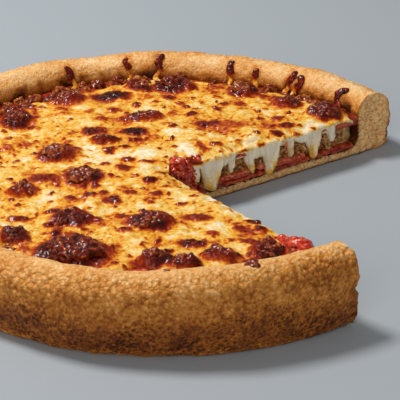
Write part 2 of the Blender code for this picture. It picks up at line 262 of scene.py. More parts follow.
def stacked(skins):
    """Several skins as one list of points and one of faces."""
    starts = np.cumsum([0] + [len(points) for points, _ in skins])
    points = np.vstack([points for points, _ in skins])
    return points, np.vstack([faces + start for (_, faces), start in zip(skins, starts)])


def joined(patches):
    """One skin from patches whose edge points are the same."""
    points, faces = stacked(patches)
    keys = np.round(points, 4) + 0.0
    _, first, index = np.unique(keys, axis=0, return_index=True, return_inverse=True)
    faces = index.reshape(-1)[faces]
    a, b, c = faces.T
    return points[first], faces[(a != b) & (b != c) & (c != a)]


def normals_of(points, faces):
    a, b, c = (points[faces[:, corner]] for corner in range(3))
    across = np.cross(b - a, c - a)
    total = np.zeros_like(points)
    for corner in range(3):
        for axis in range(3):
            total[:, axis] += np.bincount(faces[:, corner], across[:, axis], len(points))
    return total / np.maximum(np.linalg.norm(total, axis=1), 1e-9)[:, None]


flat_square = at_cut("far", square[:, 0], 0, square[:, 1]), np.array([(0, 1, 2), (0, 2, 3)])
print("a patch along the far cut faces", normals_of(*flat_square)[0].round(2))

# %% [markdown]
# Every finished piece is a plain mesh at the origin that rides on the pizza's one body. What a
# material has to know about a place, such as how brown it is, goes with the mesh as a number
# on each point, so it follows the food and not the picture.

# %% Making a piece
pieces_made = []


def food_piece(name, points, faces, material, slot, nodes=(), **marks):
    """A piece of food from points in mm, with its finish and the solids it stands for; slot is not used."""
    mesh = bpy.data.meshes.new(name)
    mesh.from_pydata((points * MM).tolist(), [], faces.tolist())
    for mark, values in marks.items():
        mesh.attributes.new(mark, "FLOAT", "POINT").data.foreach_set("value", values.astype(np.float32))
    mesh.shade_smooth()
    mesh.materials.append(material)
    obj = bpy.data.objects.new(name, mesh)
    bpy.context.scene.collection.objects.link(obj)
    return placed(obj, nodes)


def placed(obj, nodes=()):
    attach(obj, "root")
    if nodes:
        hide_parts(*nodes)
    pieces_made.append(obj)
    obj.data.calc_loop_triangles()
    print(f"{obj.name}: {len(obj.data.loop_triangles)} triangles")
    return obj


# %% [markdown]
# A material is a small network of nodes. One helper adds a node, sets it and links it.
# Colours are written as the hex codes of a colour picker, which are sRGB, and Blender wants
# linear light, so one function turns them. Patterns get their scale from a size in mm.

# %% Making a material
def colour(code):
    """Linear colour from an sRGB hex code."""
    channels = [int(code[i : i + 2], 16) / 255 for i in (1, 3, 5)]
    return (*[c / 12.92 if c <= 0.04045 else ((c + 0.055) / 1.055) ** 2.4 for c in channels], 1)


def per_mm(size):
    """Scale of a pattern whose features are about this many mm apart."""
    return 1 / (size * MM)


def add(tree, kind, inputs=None, stops=None, **settings):
    """Adds a node. An input gets a value, or a link from another node's socket."""
    node = tree.nodes.new(kind)
    for setting, value in settings.items():
        setattr(node, setting, value)
    if stops:
        ramp = node.color_ramp.elements
        ramp[1].position, ramp[1].color = stops[-1][0], colour(stops[-1][1])
        ramp[0].position, ramp[0].color = stops[0][0], colour(stops[0][1])
        for position, code in stops[1:-1]:
            ramp.new(position).color = colour(code)
    for socket, value in (inputs or {}).items():
        if isinstance(value, bpy.types.NodeSocket):
            tree.links.new(value, node.inputs[socket])
        else:
            node.inputs[socket].default_value = value
    return node


def new_finish(name):
    """A material with its tree, its shader and the place on the piece that patterns read."""
    material = bpy.data.materials.new(name)
    material.use_nodes = True
    tree = material.node_tree
    place = add(tree, "ShaderNodeTexCoord").outputs["Object"]
    return material, tree, tree.nodes["Principled BSDF"], place


def set_up(tree, shader, inputs):
    """Sets the shader's sockets: a value is set, a node's socket is linked."""
    for socket, value in inputs.items():
        if isinstance(value, bpy.types.NodeSocket):
            tree.links.new(value, shader.inputs[socket])
        else:
            shader.inputs[socket].default_value = value


print(f"a pattern with features 2 mm apart has a scale of {per_mm(2):.0f}")

# %% [markdown]
# Baked dough: flour, water and oil, browned dry in a hot pan. Its skin is matt. It is palest on
# the crest, golden on the pebbly upper wall and darkest low down, where it touched the pan.
# There the skin is full of small pores, each painted darker inside as shade. Between the pebbles
# the skin is painted darker as shade, so their tops look lit. The cut ends show the crumb: cream,
# with pores that the bump sinks and the colour paints darker, as shade.

# %% Finish: baked dough
# Sizes in mm: grains of flour, brown patches, blisters and pores
FLOUR, PATCH, PEBBLE, PORE = 1.3, 5.0, 2.3, 1.9
dough, tree, shader, place = new_finish("baked_dough")
toast, crumb, pebbly, porous = (
    add(tree, "ShaderNodeAttribute", attribute_name=mark).outputs["Fac"]
    for mark in ("toast", "crumb", "pebbly", "porous")
)
flour = add(tree, "ShaderNodeTexNoise", {
    "Vector": place, "Scale": per_mm(FLOUR), "Detail": 4.0,
}).outputs["Fac"]
mottle = add(tree, "ShaderNodeTexNoise", {
    "Vector": place, "Scale": per_mm(PATCH), "Detail": 4.0,
}).outputs["Fac"]
warp = add(tree, "ShaderNodeVectorMath", {0: flour, "Scale": 1.5 * MM}, operation="SCALE").outputs[0]
bent = add(tree, "ShaderNodeVectorMath", {0: place, 1: warp}, operation="ADD").outputs[0]
pebble = add(tree, "ShaderNodeTexVoronoi", {"Vector": bent, "Scale": per_mm(PEBBLE)}).outputs["Distance"]
# Painted light and shade on the pebbles: the skin is darker in the gaps between them, so their tops look lit
gaps = add(tree, "ShaderNodeMath", {0: pebble, 1: pebbly}, operation="MULTIPLY").outputs[0]
fine = add(tree, "ShaderNodeMath", {0: flour, 1: 0.60, 2: toast}, operation="MULTIPLY_ADD").outputs[0]
both = add(tree, "ShaderNodeMath", {0: mottle, 1: 0.22, 2: fine}, operation="MULTIPLY_ADD").outputs[0]
with_pebble_shade = add(tree, "ShaderNodeMath", {0: gaps, 1: 0.40, 2: both}, operation="MULTIPLY_ADD").outputs[0]
# Painted shade in the pores: each is darker towards its middle, where the bump sinks
pore = add(tree, "ShaderNodeTexVoronoi", {"Vector": bent, "Scale": per_mm(PORE)}).outputs["Distance"]
hole = add(tree, "ShaderNodeMapRange", {"Value": pore, "From Min": 0.62, "From Max": 0.16}).outputs[0]
holes = add(tree, "ShaderNodeMath", {0: hole, 1: porous}, operation="MULTIPLY").outputs[0]
with_pebble_and_pore_shade = add(tree, "ShaderNodeMath", {0: holes, 1: 0.26, 2: with_pebble_shade}, operation="MULTIPLY_ADD").outputs[0]
# This holds the browning together with the painted shade of the pebbles and the pores
browned = add(tree, "ShaderNodeMath", {0: with_pebble_and_pore_shade, 1: 0.49}, operation="SUBTRACT").outputs[0]
skin = add(tree, "ShaderNodeValToRGB", {"Fac": browned}, stops=(
    (0.0, "#FFDFAE"), (0.20, "#F6BE78"), (0.40, "#DE9440"),
    (0.62, "#B26720"), (0.84, "#783C0E"), (1.0, "#471E06"),
)).outputs["Color"]
# The crumb is painted darker where its bump sinks, as shade in its pores
bread = add(tree, "ShaderNodeValToRGB", {"Fac": flour}, stops=(
    (0.30, "#B8702C"), (0.42, "#F2AF66"), (0.58, "#FFD89A"),
)).outputs["Color"]
inside = add(tree, "ShaderNodeMix", {"Factor": crumb, 6: skin, 7: bread}, data_type="RGBA").outputs[2]
blistered = add(tree, "ShaderNodeMath", {0: gaps, 1: -1.5, 2: flour}, operation="MULTIPLY_ADD").outputs[0]
sunken = add(tree, "ShaderNodeMath", {0: holes, 1: -1.5, 2: blistered}, operation="MULTIPLY_ADD").outputs[0]
bump = add(tree, "ShaderNodeBump", {"Height": sunken, "Strength": 0.9, "Distance": 0.9 * MM}).outputs[0]
set_up(tree, shader, {"Base Color": inside, "Roughness": 0.5, "Specular IOR Level": 0.22, "Normal": bump})
print(f"{dough.name}: {len(tree.nodes)} nodes")

# %% [markdown]
# Baked mozzarella: melted, then blistered under top heat. Where it is thick it stays cream.
# Thin places go yellow and golden, and each blister runs through orange and red-brown to
# almost black at its top. Fat that came out gives a soft wet gloss, sharper on the dark spots.

# %% Finish: baked cheese
# Sizes in mm: curds of cheese and patches of oil
CURD, OIL = 1.5, 4.4
cheese, tree, shader, place = new_finish("baked_mozzarella")
browning = add(tree, "ShaderNodeAttribute", attribute_name="browning").outputs["Fac"]
curd = add(tree, "ShaderNodeTexNoise", {
    "Vector": place, "Scale": per_mm(CURD), "Detail": 3.0,
}).outputs["Fac"]
oil = add(tree, "ShaderNodeTexNoise", {
    "Vector": place, "Scale": per_mm(OIL), "Detail": 3.0,
}).outputs["Fac"]
fine = add(tree, "ShaderNodeMath", {0: curd, 1: 0.46, 2: browning}, operation="MULTIPLY_ADD").outputs[0]
both = add(tree, "ShaderNodeMath", {0: oil, 1: 0.36, 2: fine}, operation="MULTIPLY_ADD").outputs[0]
browned = add(tree, "ShaderNodeMath", {0: both, 1: 0.41}, operation="SUBTRACT").outputs[0]
melted = add(tree, "ShaderNodeValToRGB", {"Fac": browned}, stops=(
    (0.0, "#FFF3DA"), (0.11, "#FFE3B4"), (0.22, "#F9CE68"), (0.33, "#F3B037"), (0.43, "#E08323"),
    (0.53, "#BA4A10"), (0.65, "#942808"), (0.79, "#661404"), (0.95, "#300702"),
)).outputs["Color"]
wet = add(tree, "ShaderNodeMapRange", {
    "Value": browned, "From Min": 0.2, "From Max": 0.8, "To Min": 0.36, "To Max": 0.22,
}).outputs[0]
oily = add(tree, "ShaderNodeMapRange", {
    "Value": browned, "From Min": 0.3, "From Max": 0.7, "To Min": 0.06, "To Max": 0.30,
}).outputs[0]
bump = add(tree, "ShaderNodeBump", {"Height": curd, "Strength": 0.7, "Distance": 0.8 * MM}).outputs[0]
set_up(tree, shader, {
    "Base Color": melted, "Roughness": wet, "Normal": bump,
    "Subsurface Weight": 0.10, "Subsurface Scale": 2.0 * MM, "Specular IOR Level": 0.10,
    "Coat Weight": oily, "Coat Roughness": 0.05,
})
print(f"{cheese.name}: {len(tree.nodes)} nodes")

# %% [markdown]
# Sauce and meat. Cooked tomato sauce is red to brown-red and wet. Ground sausage is beige-brown
# with greasy gaps between its grains. Baked on top it turns maroon to black with sharp
# highlights. Pepperoni is a smooth red with paler flecks of fat. They share one recipe: a
# pattern at the size of the grains picks a colour from a few stops, and a coat gives the wet look.
# The colour is also painted darker where the mesh folds in, as shade, which darkens the gaps
# between grains, and painted paler on its raised tips, as highlights.

# %% Finish: sauce and meat
def wet_finish(name, grain, stops, roughness, coat, depth):
    """A wet food finish: colour by grains of a size in mm, with painted shade where the mesh folds in and
    painted light on its raised tips.
    """
    material, tree, shader, place = new_finish(name)
    grainy = add(tree, "ShaderNodeTexNoise", {
        "Vector": place, "Scale": per_mm(grain), "Detail": 4.0,
    }).outputs["Fac"]
    # Painted shade where the mesh folds in and painted light on its raised tips, both read from pointiness
    folds = add(tree, "ShaderNodeNewGeometry").outputs["Pointiness"]
    painted_shade_and_light = add(tree, "ShaderNodeMapRange", {
        "Value": folds, "From Min": 0.43, "From Max": 0.57, "To Min": -0.34, "To Max": 0.34,
    }).outputs[0]
    tone = add(tree, "ShaderNodeAttribute", attribute_name="tone").outputs["Fac"]
    toned = add(tree, "ShaderNodeMath", {0: grainy, 1: tone}, operation="ADD").outputs[0]
    mixed = add(tree, "ShaderNodeMath", {0: toned, 1: painted_shade_and_light}, operation="ADD").outputs[0]
    tint = add(tree, "ShaderNodeValToRGB", {"Fac": mixed}, stops=stops).outputs["Color"]
    bump = add(tree, "ShaderNodeBump", {
        "Height": grainy, "Strength": 0.5, "Distance": depth * MM,
    }).outputs[0]
    set_up(tree, shader, {
        "Base Color": tint, "Roughness": roughness, "Normal": bump, "Specular IOR Level": 0.18,
        "Coat Weight": coat, "Coat Roughness": 0.08,
    })
    print(f"{name}: grains of {grain} mm")
    return material


# For each: grain in mm, colours, roughness, coat, and depth of the bump in mm
sauce = wet_finish("cooked_tomato_sauce", 2.6, (
    (0.20, "#300805"), (0.45, "#6E160B"), (0.65, "#A32B14"), (0.85, "#C9582E"),
), 0.30, 0.5, 0.5)
ground = wet_finish("ground_sausage", 2.4, (
    (0.10, "#2A1006"), (0.32, "#6B3815"), (0.50, "#A36A30"), (0.68, "#CC9650"), (0.90, "#EBC285"),
), 0.32, 0.4, 0.6)
seared = wet_finish("browned_sausage", 2.0, (
    (0.14, "#1A0502"), (0.34, "#450E04"), (0.54, "#78210A"), (0.76, "#A04A1B"), (0.98, "#C98545"),
), 0.26, 0.32, 0.8)
saucy = wet_finish("sausage_in_sauce", 2.2, (
    (0.18, "#200302"), (0.40, "#6E0E06"), (0.62, "#B0200F"), (0.84, "#D24322"), (1.0, "#EC8552"),
), 0.20, 0.6, 0.9)
cured = wet_finish("pepperoni", 1.7, (
    (0.25, "#6E130A"), (0.45, "#A82414"), (0.62, "#C23B20"), (0.76, "#DD7A50"), (0.90, "#EBA57C"),
), 0.32, 0.35, 0.25)
stewed = wet_finish("stewed_tomato", 3.0, (
    (0.20, "#6A0E07"), (0.42, "#B62212"), (0.68, "#DE4A2E"), (0.92, "#EE8E68"),
), 0.24, 0.6, 0.6)

# %% [markdown]
# The crust is turned like a pot: one profile, out along the floor, up the wall, over the rolled
# crest and down outside. Here the profile's points are rows and the places round the pizza are
# columns, so both cut ends can be closed with a fine filled patch that is then torn into crumb.

# %% The crust's profile
# In mm: the floor's thickness, the middle and radius of the roll, and the finest spacing
FLOOR = 5.0
ROLL_MIDDLE = np.array([137.3, 25.4])
ROLL_RADIUS = 12.0
FINE = 0.8
WALL_COLUMNS = 760


def spaced(path, spacing):
    """The same path with points at even distances."""
    run = np.concatenate([[0], np.cumsum(np.hypot(*np.diff(path, axis=0).T))])
    stops = np.linspace(0, run[-1], round(run[-1] / spacing) + 1)
    return np.column_stack([np.interp(stops, run, path[:, axis]) for axis in range(2)])


def steps_to(length, spacing=0.6):
    return np.linspace(0, length, round(length / spacing) + 1)


def at_height(flat, height):
    return np.column_stack([flat, np.broadcast_to(height, len(flat))])


turns = np.radians(np.arange(176, -1, -4))
roll = ROLL_MIDDLE + ROLL_RADIUS * np.column_stack([np.cos(turns), np.sin(turns)])
# Distance from the pizza's middle and height of each point, inside the wall and outside it
below = np.array([(118, FLOOR), (124.6, 6.2), (126.4, 11), (125.9, 18.5), roll[0]])
outside = [(150.2, 19.5), (149.9, 12), (148.9, 5), (147.6, 1.2), (146, 0)]
wall = np.vstack([spaced(below, 2.4)[:-1], spaced(np.vstack([roll, outside]), FINE)])
wall[1:-1] = (wall[:-2] + 2 * wall[1:-1] + wall[2:]) / 4
print(f"the profile has {len(wall)} points and rises to {wall[:, 1].max():.1f} mm")

# %% [markdown]
# The profile goes round first, as a quilt. Then the floor's top and underside are filled, and so
# are the two cut ends. Joining merges their shared edges, which leaves one closed skin.

# %% Sewing the crust
rows = np.stack([at_height(arc(radius, WALL_COLUMNS), height) for radius, height in wall])
patches = [quilt(rows, flip=True)]
for row, height, flip in ((rows[0], FLOOR, False), (rows[-1], 0.0, True)):
    radius = wall[0, 0] if height else wall[-1, 0]
    far, near = (at_cut(side, steps_to(reach(side, radius)), 0, height) for side in ("far", "near"))
    outline = np.vstack([far[:-1], row, near[-2:0:-1]])
    flat, faces = filled(outline[:, :2], 5)
    patches.append((at_height(flat, height), faces[:, ::-1] if flip else faces))
for side in ("far", "near"):
    top = [(distance, FLOOR) for distance in steps_to(reach(side, wall[0, 0]))]
    column = [(reach(side, radius), height) for radius, height in wall]
    base = [(distance, 0.0) for distance in steps_to(reach(side, wall[-1, 0]))]
    tip = [(0.0, height) for height in np.linspace(0, FLOOR, 9)[1:-1]]
    section, faces = filled(np.array(top[:-1] + column + base[-2::-1] + tip), 0.62)
    faces = faces if side == "far" else faces[:, ::-1]
    patches.append((at_cut(side, section[:, 0], 0, section[:, 1]), faces))
points, faces = joined(patches)
print(f"crust skin: {len(points)} points")

# %% [markdown]
# Three sizes of noise make the dough: slow dents left by hands, lumps of a finger's width, and
# pebbles of 2 mm on the upper wall where the skin blistered. On the cut ends the same push goes
# inwards wherever a pore opens, the edge is ragged, and the skin has split near it. Shreds of
# cheese baked on the wall left fried rings, so their places are given here.

# %% The crust's relief
# Angle round the pizza and angle up the roll, in degrees, and length in mm
SHREDS = (
    (117, 122, 10), (101, 114, 9), (93, 106, 12), (73, 112, 11), (66, 130, 7), (56, 116, 11), (53, 124, 9),
    (40, 116, 13), (148, 126, 8),
)
radius = np.hypot(points[:, 0], points[:, 1])
height = points[:, 2]
cut_end = behind_cut(points[:, :2]) < 0.01
out_of_skin = KDTree(len(wall))
for number, (out, up) in enumerate(wall):
    out_of_skin.insert((out, up, 0), number)
out_of_skin.balance()
under_skin = np.array([out_of_skin.find((out, up, 0))[2] for out, up in zip(radius, height)])
crumb_share = np.where(cut_end, ease(0.6, 2.2, np.minimum(under_skin, height + 0.4)), 0)

# Where the skin is the wall's outside, and where it is pebbly: most on the upper wall
outer = ease(131, 143, radius)
pebbly = outer * (0.2 + 0.8 * ease(21, 28, height)) * (1 - 0.6 * ease(35, 39, height))
pebbly *= 0.75 + 0.25 * lumps(points, 14, 14)
stray = 0.9 * np.column_stack([lumps(points, 3.6, seed) for seed in (24, 25, 26)])
pebbles = 1 - grains(points + stray, 2.4, 3)
# Depth in mm, then size in mm and seed: hand dents first, then lumps, then the pebbles
dents = 0.55 * lumps(points, 34, 1) + 0.5 * lumps(points, 13, 2) + 0.3 * lumps(points, 5.5, 3)
relief = -0.5 + dents + 0.28 * lumps(points, 3.0, 5) + (0.85 * pebbly + 0.22) * (pebbles - 0.45)
# Pores of two sizes in the crumb, cracks across the wall's end and a split along it
torn = 0.3 + 0.3 * lumps(points, 6, 8) + 0.9 * ease(0.1, 0.6, lumps(points, 2.6, 9)) * crumb_share
torn += 0.5 * ease(0.2, 0.7, lumps(points, 1.5, 10)) * crumb_share
depth = behind_cut(points[:, :2])
crack = ease(0.10, 0.02, np.abs(lumps(points * (1, 1, 0.4), 15, 12))) * ease(7, 1, depth)
split = ease(0.9, 0.2, np.abs(depth - 5 - 1.8 * lumps(points, 7, 18)))
split = split * ease(30, 34, height) * ease(128, 131, radius)
relief = np.where(cut_end, -torn, np.minimum(relief, 0.25)) - 0.9 * crack * outer - 1.3 * split
relief[(radius < 125) & ~cut_end] = 0
points = points + normals_of(points, faces) * relief[:, None]
# The ends aren't quite flat: near a cut the wall is moved along the knife's way
middle = (CUT_ANGLE["near"] + CUT_ANGLE["far"]) / 2
on_far_side = np.arctan2(points[:, 1], points[:, 0]) > middle
knife_way = np.where(on_far_side[:, None], cut_frame("far")[1], cut_frame("near")[1])
ragged = 1.2 * lumps(points, 8, 16) + 0.8 * lumps(points, 3.2, 17) + 0.4 * lumps(points, 1.6, 19)
points[:, :2] += (ragged * ease(6, 0, depth) * ease(124, 129, radius))[:, None] * knife_way
points[:, 2] = np.maximum(points[:, 2], 0)
print(f"the relief goes {-relief.min():.1f} mm in and {relief.max():.1f} mm out")

# %% [markdown]
# Browning follows the height: darkest low down, where the dough touched the pan, golden above
# and pale on the crest. Sauce and fat stained the inside of the wall. On top of that the pebbles'
# tops get painted light and the gaps between them painted shade. These numbers go with
# the points as attributes, and the finish turns them into colour.

# %% The crust's browning
# Browning at a few heights in mm, outside the wall and inside it
OUTSIDE_TOAST = {
    0: 0.48, 2: 0.65, 6: 0.80, 13: 0.77, 20: 0.60, 25: 0.50, 29: 0.50, 33: 0.41, 37: 0.30, 40: 0.23,
}
INSIDE_TOAST = {5: 0.95, 24: 0.90, 27: 0.56, 31: 0.34, 35: 0.26, 39: 0.22}
outside_toast = np.interp(height, list(OUTSIDE_TOAST), list(OUTSIDE_TOAST.values()))
inside_toast = np.interp(height, list(INSIDE_TOAST), list(INSIDE_TOAST.values()))
stained = ease(35, 27, height) * ease(0.0, 0.5, lumps(points * (1, 1, 0.6), 8, 13))
inside_toast += 0.45 * stained
# A darker ring round each shred, measured along the wall and over the roll
fried = np.zeros(len(points))
for angle, up, length in SHREDS:
    turn = (np.degrees(np.arctan2(points[:, 1], points[:, 0])) - angle) * math.radians(ROLL_MIDDLE[0])
    over = np.degrees(np.arctan2(height - ROLL_MIDDLE[1], radius - ROLL_MIDDLE[0])) - up
    along_roll = np.radians(over) * ROLL_RADIUS - length / 2
    away = np.hypot(turn / 4.5, along_roll / (length / 2 + 4)) + 0.25 * lumps(points, 4, 20)
    fried = np.maximum(fried, 0.24 * ease(1.15, 0.4, away) * (height > 25) * ~cut_end)
toast_and_pebble_light = outer * outside_toast + (1 - outer) * inside_toast + fried
stains = 0.12 * lumps(points * (1, 1, 2.2), 30, 6) + 0.08 * lumps(points, 9, 7)
toast_and_pebble_light += stains + 0.06 * lumps(points, 3.5, 11)
# Painted light and shade: the pebbles' tops are painted paler and the gaps between them darker
toast_and_pebble_light -= (0.20 * pebbly + 0.10) * (pebbles - 0.55) + 0.13 * pebbly
porous = outer * ease(29, 20, height) * (0.6 + 0.5 * lumps(points, 15, 15)) * ~cut_end
food_piece("baked_crust", hand_shaped(points), faces, dough, "baked_dough", ["crust"],
           toast=toast_and_pebble_light, crumb=crumb_share, pebbly=np.where(cut_end, 0, pebbly + 0.12), porous=porous)

# %% [markdown]
# Sauce, filling and pepperoni are flat layers cut by the same knife. A slab is one outline,
# filled above and below, with a few rows round its edge that may bulge.

# %% Slabs
def slab(outline, low, high, spacing=6.0, rows=3, bulge=0.0):
    """A closed flat layer from an outline of flat points."""
    x, y = outline.T
    if (x * np.roll(y, -1) - np.roll(x, -1) * y).sum() < 0:
        outline = outline[::-1]
    tangent = np.roll(outline, -1, axis=0) - np.roll(outline, 1, axis=0)
    sideways = np.column_stack([tangent[:, 1], -tangent[:, 0]]) / np.linalg.norm(tangent, axis=1)[:, None]
    flat, faces = filled(outline, spacing)
    patches = [(at_height(flat, high), faces), (at_height(flat, low), faces[:, ::-1])]
    edge = []
    for share in np.linspace(0, 1, rows + 1):
        swell = bulge * math.sin(math.pi * share)
        edge.append(at_height(outline + sideways * swell, high + share * (low - high)))
    edge = np.stack([np.vstack([row, row[:1]]) for row in edge])
    return joined([*patches, quilt(edge, flip=True)])


def layer_outline(radius, setback, columns=160):
    """The outline of a layer out to a radius, its cut faces moved back into the food."""
    sides = []
    for side in ("far", "near"):
        distance = steps_to(reach(side, radius) - 0.4)
        sides.append(at_cut(side, distance, 0, 0)[:, :2])
    rim = arc(radius, columns)[1:-1]
    middle = (CUT_ANGLE["near"] + CUT_ANGLE["far"]) / 2
    half = (CUT_ANGLE["far"] - CUT_ANGLE["near"]) / 2
    back = setback / math.sin(half) * np.array([math.cos(middle), math.sin(middle)])
    return np.vstack([sides[0] - back, rim, sides[1][:0:-1] - back])


print("a layer's outline has", len(layer_outline(124, 4.0)), "points")

# %% [markdown]
# The sauce is a thin layer on the dough and swells a little at the cut, where the knife pressed
# it. The filling stands back from the cut: it is only the ground that its crumbs will lie on.

# %% Sauce and filling
# Underside and top of each layer, in mm
SAUCE_LAYER = (5.2, 8.0)
FILLING = (7.9, 19.0)
points, faces = slab(layer_outline(123.5, 0.3), *SAUCE_LAYER, rows=6, bulge=1.0)
shown = behind_cut(points[:, :2]) < 3
points += normals_of(points, faces) * np.where(shown, 0.7 * lumps(points, 3.5, 21), 0)[:, None]
food_piece("sauce_layer", hand_shaped(points), faces, sauce, "tomato_sauce", ["tomato_sauce"])

points, faces = slab(layer_outline(124, 4.0), *FILLING, rows=16)
shown = behind_cut(points[:, :2]) < 7
rough = 0.8 * lumps(points, 6, 22) + 0.9 * (0.5 - grains(points, 3.2, 23))
points += normals_of(points, faces) * np.where(shown, rough, 0)[:, None]
points[:, 2] = np.clip(points[:, 2], 7.8, 19.3)
food_piece("filling_core", hand_shaped(points), faces, ground, "ground_sausage", ["sausage_filling"])

# %% [markdown]
# Pepperoni slices are 34 mm across. The knife goes through them, so each is a disc with one
# straight side, and that side is what shows as a red band in the cut. The heat made them wavy.

# %% Pepperoni
PEPPERONI_RADIUS = 17.0
PEPPERONI_THICK = 2.4
# For each layer, cut and height: distance from the tip, and how deep behind the cut the middle is
PEPPERONI = {
    ("upper", "far", 21.5): ((24, 9), (60, 8), (96, 10)),
    ("upper", "near", 21.5): ((28, 10), (64, 8), (100, 9)),
    ("lower", "far", 9.95): ((42, 9), (80, 8)),
    ("lower", "near", 9.95): ((47, 9), (86, 10)),
}
patches, nodes = [], []
for (layer, side, middle_height), row in PEPPERONI.items():
    for number, (distance, depth) in enumerate(row, 1):
        nodes.append(f"pepperoni_{layer}_{side}_{number}")
        half = math.sqrt(PEPPERONI_RADIUS**2 - depth**2)
        chord = np.linspace(-half, half, round(half / 0.3))
        corner = math.asin(depth / PEPPERONI_RADIUS)
        round_side = np.linspace(corner, -math.pi - corner, 32)[1:-1]
        across = np.concatenate([chord, PEPPERONI_RADIUS * np.cos(round_side)])
        proud = np.concatenate([0 * chord, PEPPERONI_RADIUS * np.sin(round_side) - depth])
        flat = at_cut(side, distance + across, proud, 0)[:, :2]
        low = middle_height - PEPPERONI_THICK / 2
        skin, skin_faces = slab(flat, low, low + PEPPERONI_THICK, spacing=2.5, rows=5, bulge=0.35)
        along, outward = cut_frame(side)
        across = (skin[:, :2] - TIP) @ along - distance
        skin[:, 2] += math.tan(math.radians(2.0 if number % 2 else -1.6)) * across
        skin[:, 2] += 1.1 * lumps(at_height(skin[:, :2], 0), 10, 31 + number)
        edge_share = ease(4, 0, behind_cut(skin[:, :2]))
        wobble = 0.45 * lumps(skin, 3.0, 33) + 0.9 * lumps(at_height(skin[:, :2], 0), 7, 35)
        skin[:, :2] += (edge_share * (0.9 + wobble))[:, None] * outward
        patches.append((skin, skin_faces))
points, faces = stacked(patches)
food_piece("pepperoni_slices", hand_shaped(points), faces, cured, "pepperoni", nodes)

# %% [markdown]
# The cheese is one sheet. Where sausage lies under it, it rises and browns first, so the places of
# the browned patches come from the solids there, from a short list of the ones that stand
# out, and from a scatter of small blisters with a fixed seed.

# %% Where the cheese browned
SAUSAGE = sorted(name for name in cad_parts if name.startswith("sausage_piece"))
# Middle x and y, length and width in mm, and how dark: 1 is almost black
BIG_PATCHES = [
    (-33, 90, 26, 14, 0.85), (-18, 41, 17, 11, 0.85), (-40, 41, 17, 10, 0.7), (14, -87, 17, 8, 0.75),
    (17, -60, 17, 9, 0.6), (23, 52, 18, 8, 0.6), (34, 51, 31, 14, 0.45), (-71, -61, 13, 7, 0.7),
    (-55, -54, 9, 7, 0.75), (-17, -34, 9, 7, 0.6), (-20, -59, 9, 6, 0.6), (-4, -35, 8, 6, 0.6),
    (-47, -39, 8, 6, 0.65), (9, -46, 8, 5, 0.6), (-22, 22, 9, 6, 0.75), (-16, 31, 9, 5, 0.7),
    (17, 6, 14, 4, 0.6), (-9, 1, 12, 4, 0.55), (38, -71, 9, 8, 0.6), (-62, -18, 20, 12, 0.65),
]
# Places that stayed pale: middle, length, width and how much paler
CREAM = [
    (-34, 11, 44, 34, 0.20), (-60, 101, 26, 16, 0.16), (12, 7, 12, 30, 0.22), (36, -29, 30, 22, 0.16),
    (-7, 64, 26, 18, 0.14), (-79, -64, 26, 18, 0.14), (-31, -52, 22, 16, 0.12),
]


def rim_edge(angle):
    """Radius of the sheet's ragged outer edge. Past 125 it touches the wall."""
    round_the_rim = np.column_stack([np.cos(angle), np.sin(angle), 0 * angle]) * 120
    stray = 3.4 * lumps(round_the_rim, 19, 41) + 2.6 * lumps(round_the_rim, 8, 42)
    turn = np.degrees(angle)
    bare = 8 * ease(26, 12, np.abs(turn + 80)) + 8.5 * ease(38, 18, np.abs(turn - 130))
    return np.clip(120.8 + stray * (1 + 0.12 * bare) - bare, 109, 125.6)


def small_blisters():
    """A jittered grid of small browned blisters, clear of the big ones, the rim and the wedge."""
    draw = np.random.default_rng(12)
    made = []
    grid = np.meshgrid(np.arange(-116, 117, 9.4), np.arange(-116, 117, 9.0))
    for x, y in np.stack(grid, -1).reshape(-1, 2):
        middle = np.array([x, y]) + draw.uniform(-4.4, 4.4, 2)
        length = 3.0 + 7.0 * draw.random() ** 1.7
        width = length * draw.uniform(0.6, 1.05)
        dark = draw.uniform(0.42, 0.78)
        clear = all(math.hypot(*(middle - patch[:2])) > patch[2] / 2 + 3 for patch in BIG_PATCHES)
        if clear and math.hypot(*middle) < 117 and draw.random() < 0.86:
            made.append((*middle, length, width, dark))
    return made


sunk = []
for name in SAUSAGE + ["tomato_piece"]:
    low, high = (np.array(corner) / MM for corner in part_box(name))
    sunk.append((*((low + high) / 2)[:2], *(high - low)[:2], high[2]))
blisters = BIG_PATCHES + small_blisters()
print(len(sunk), "lumps under the cheese,", len(blisters), "blisters on it")

# %% [markdown]
# One function gives the height and the browning at any place, from the same patches, so the
# colour always sits on the relief. The mean level and the slow lumps are the solid's own.

# %% Height and browning of the sheet
CHEESE_TOP = 27.0


def patch_distance(flat, patch):
    """Distance from a patch's middle, 1 at its edge."""
    x, y, length, width, _ = patch
    return np.hypot((flat[:, 0] - x) / (length / 2), (flat[:, 1] - y) / (width / 2))


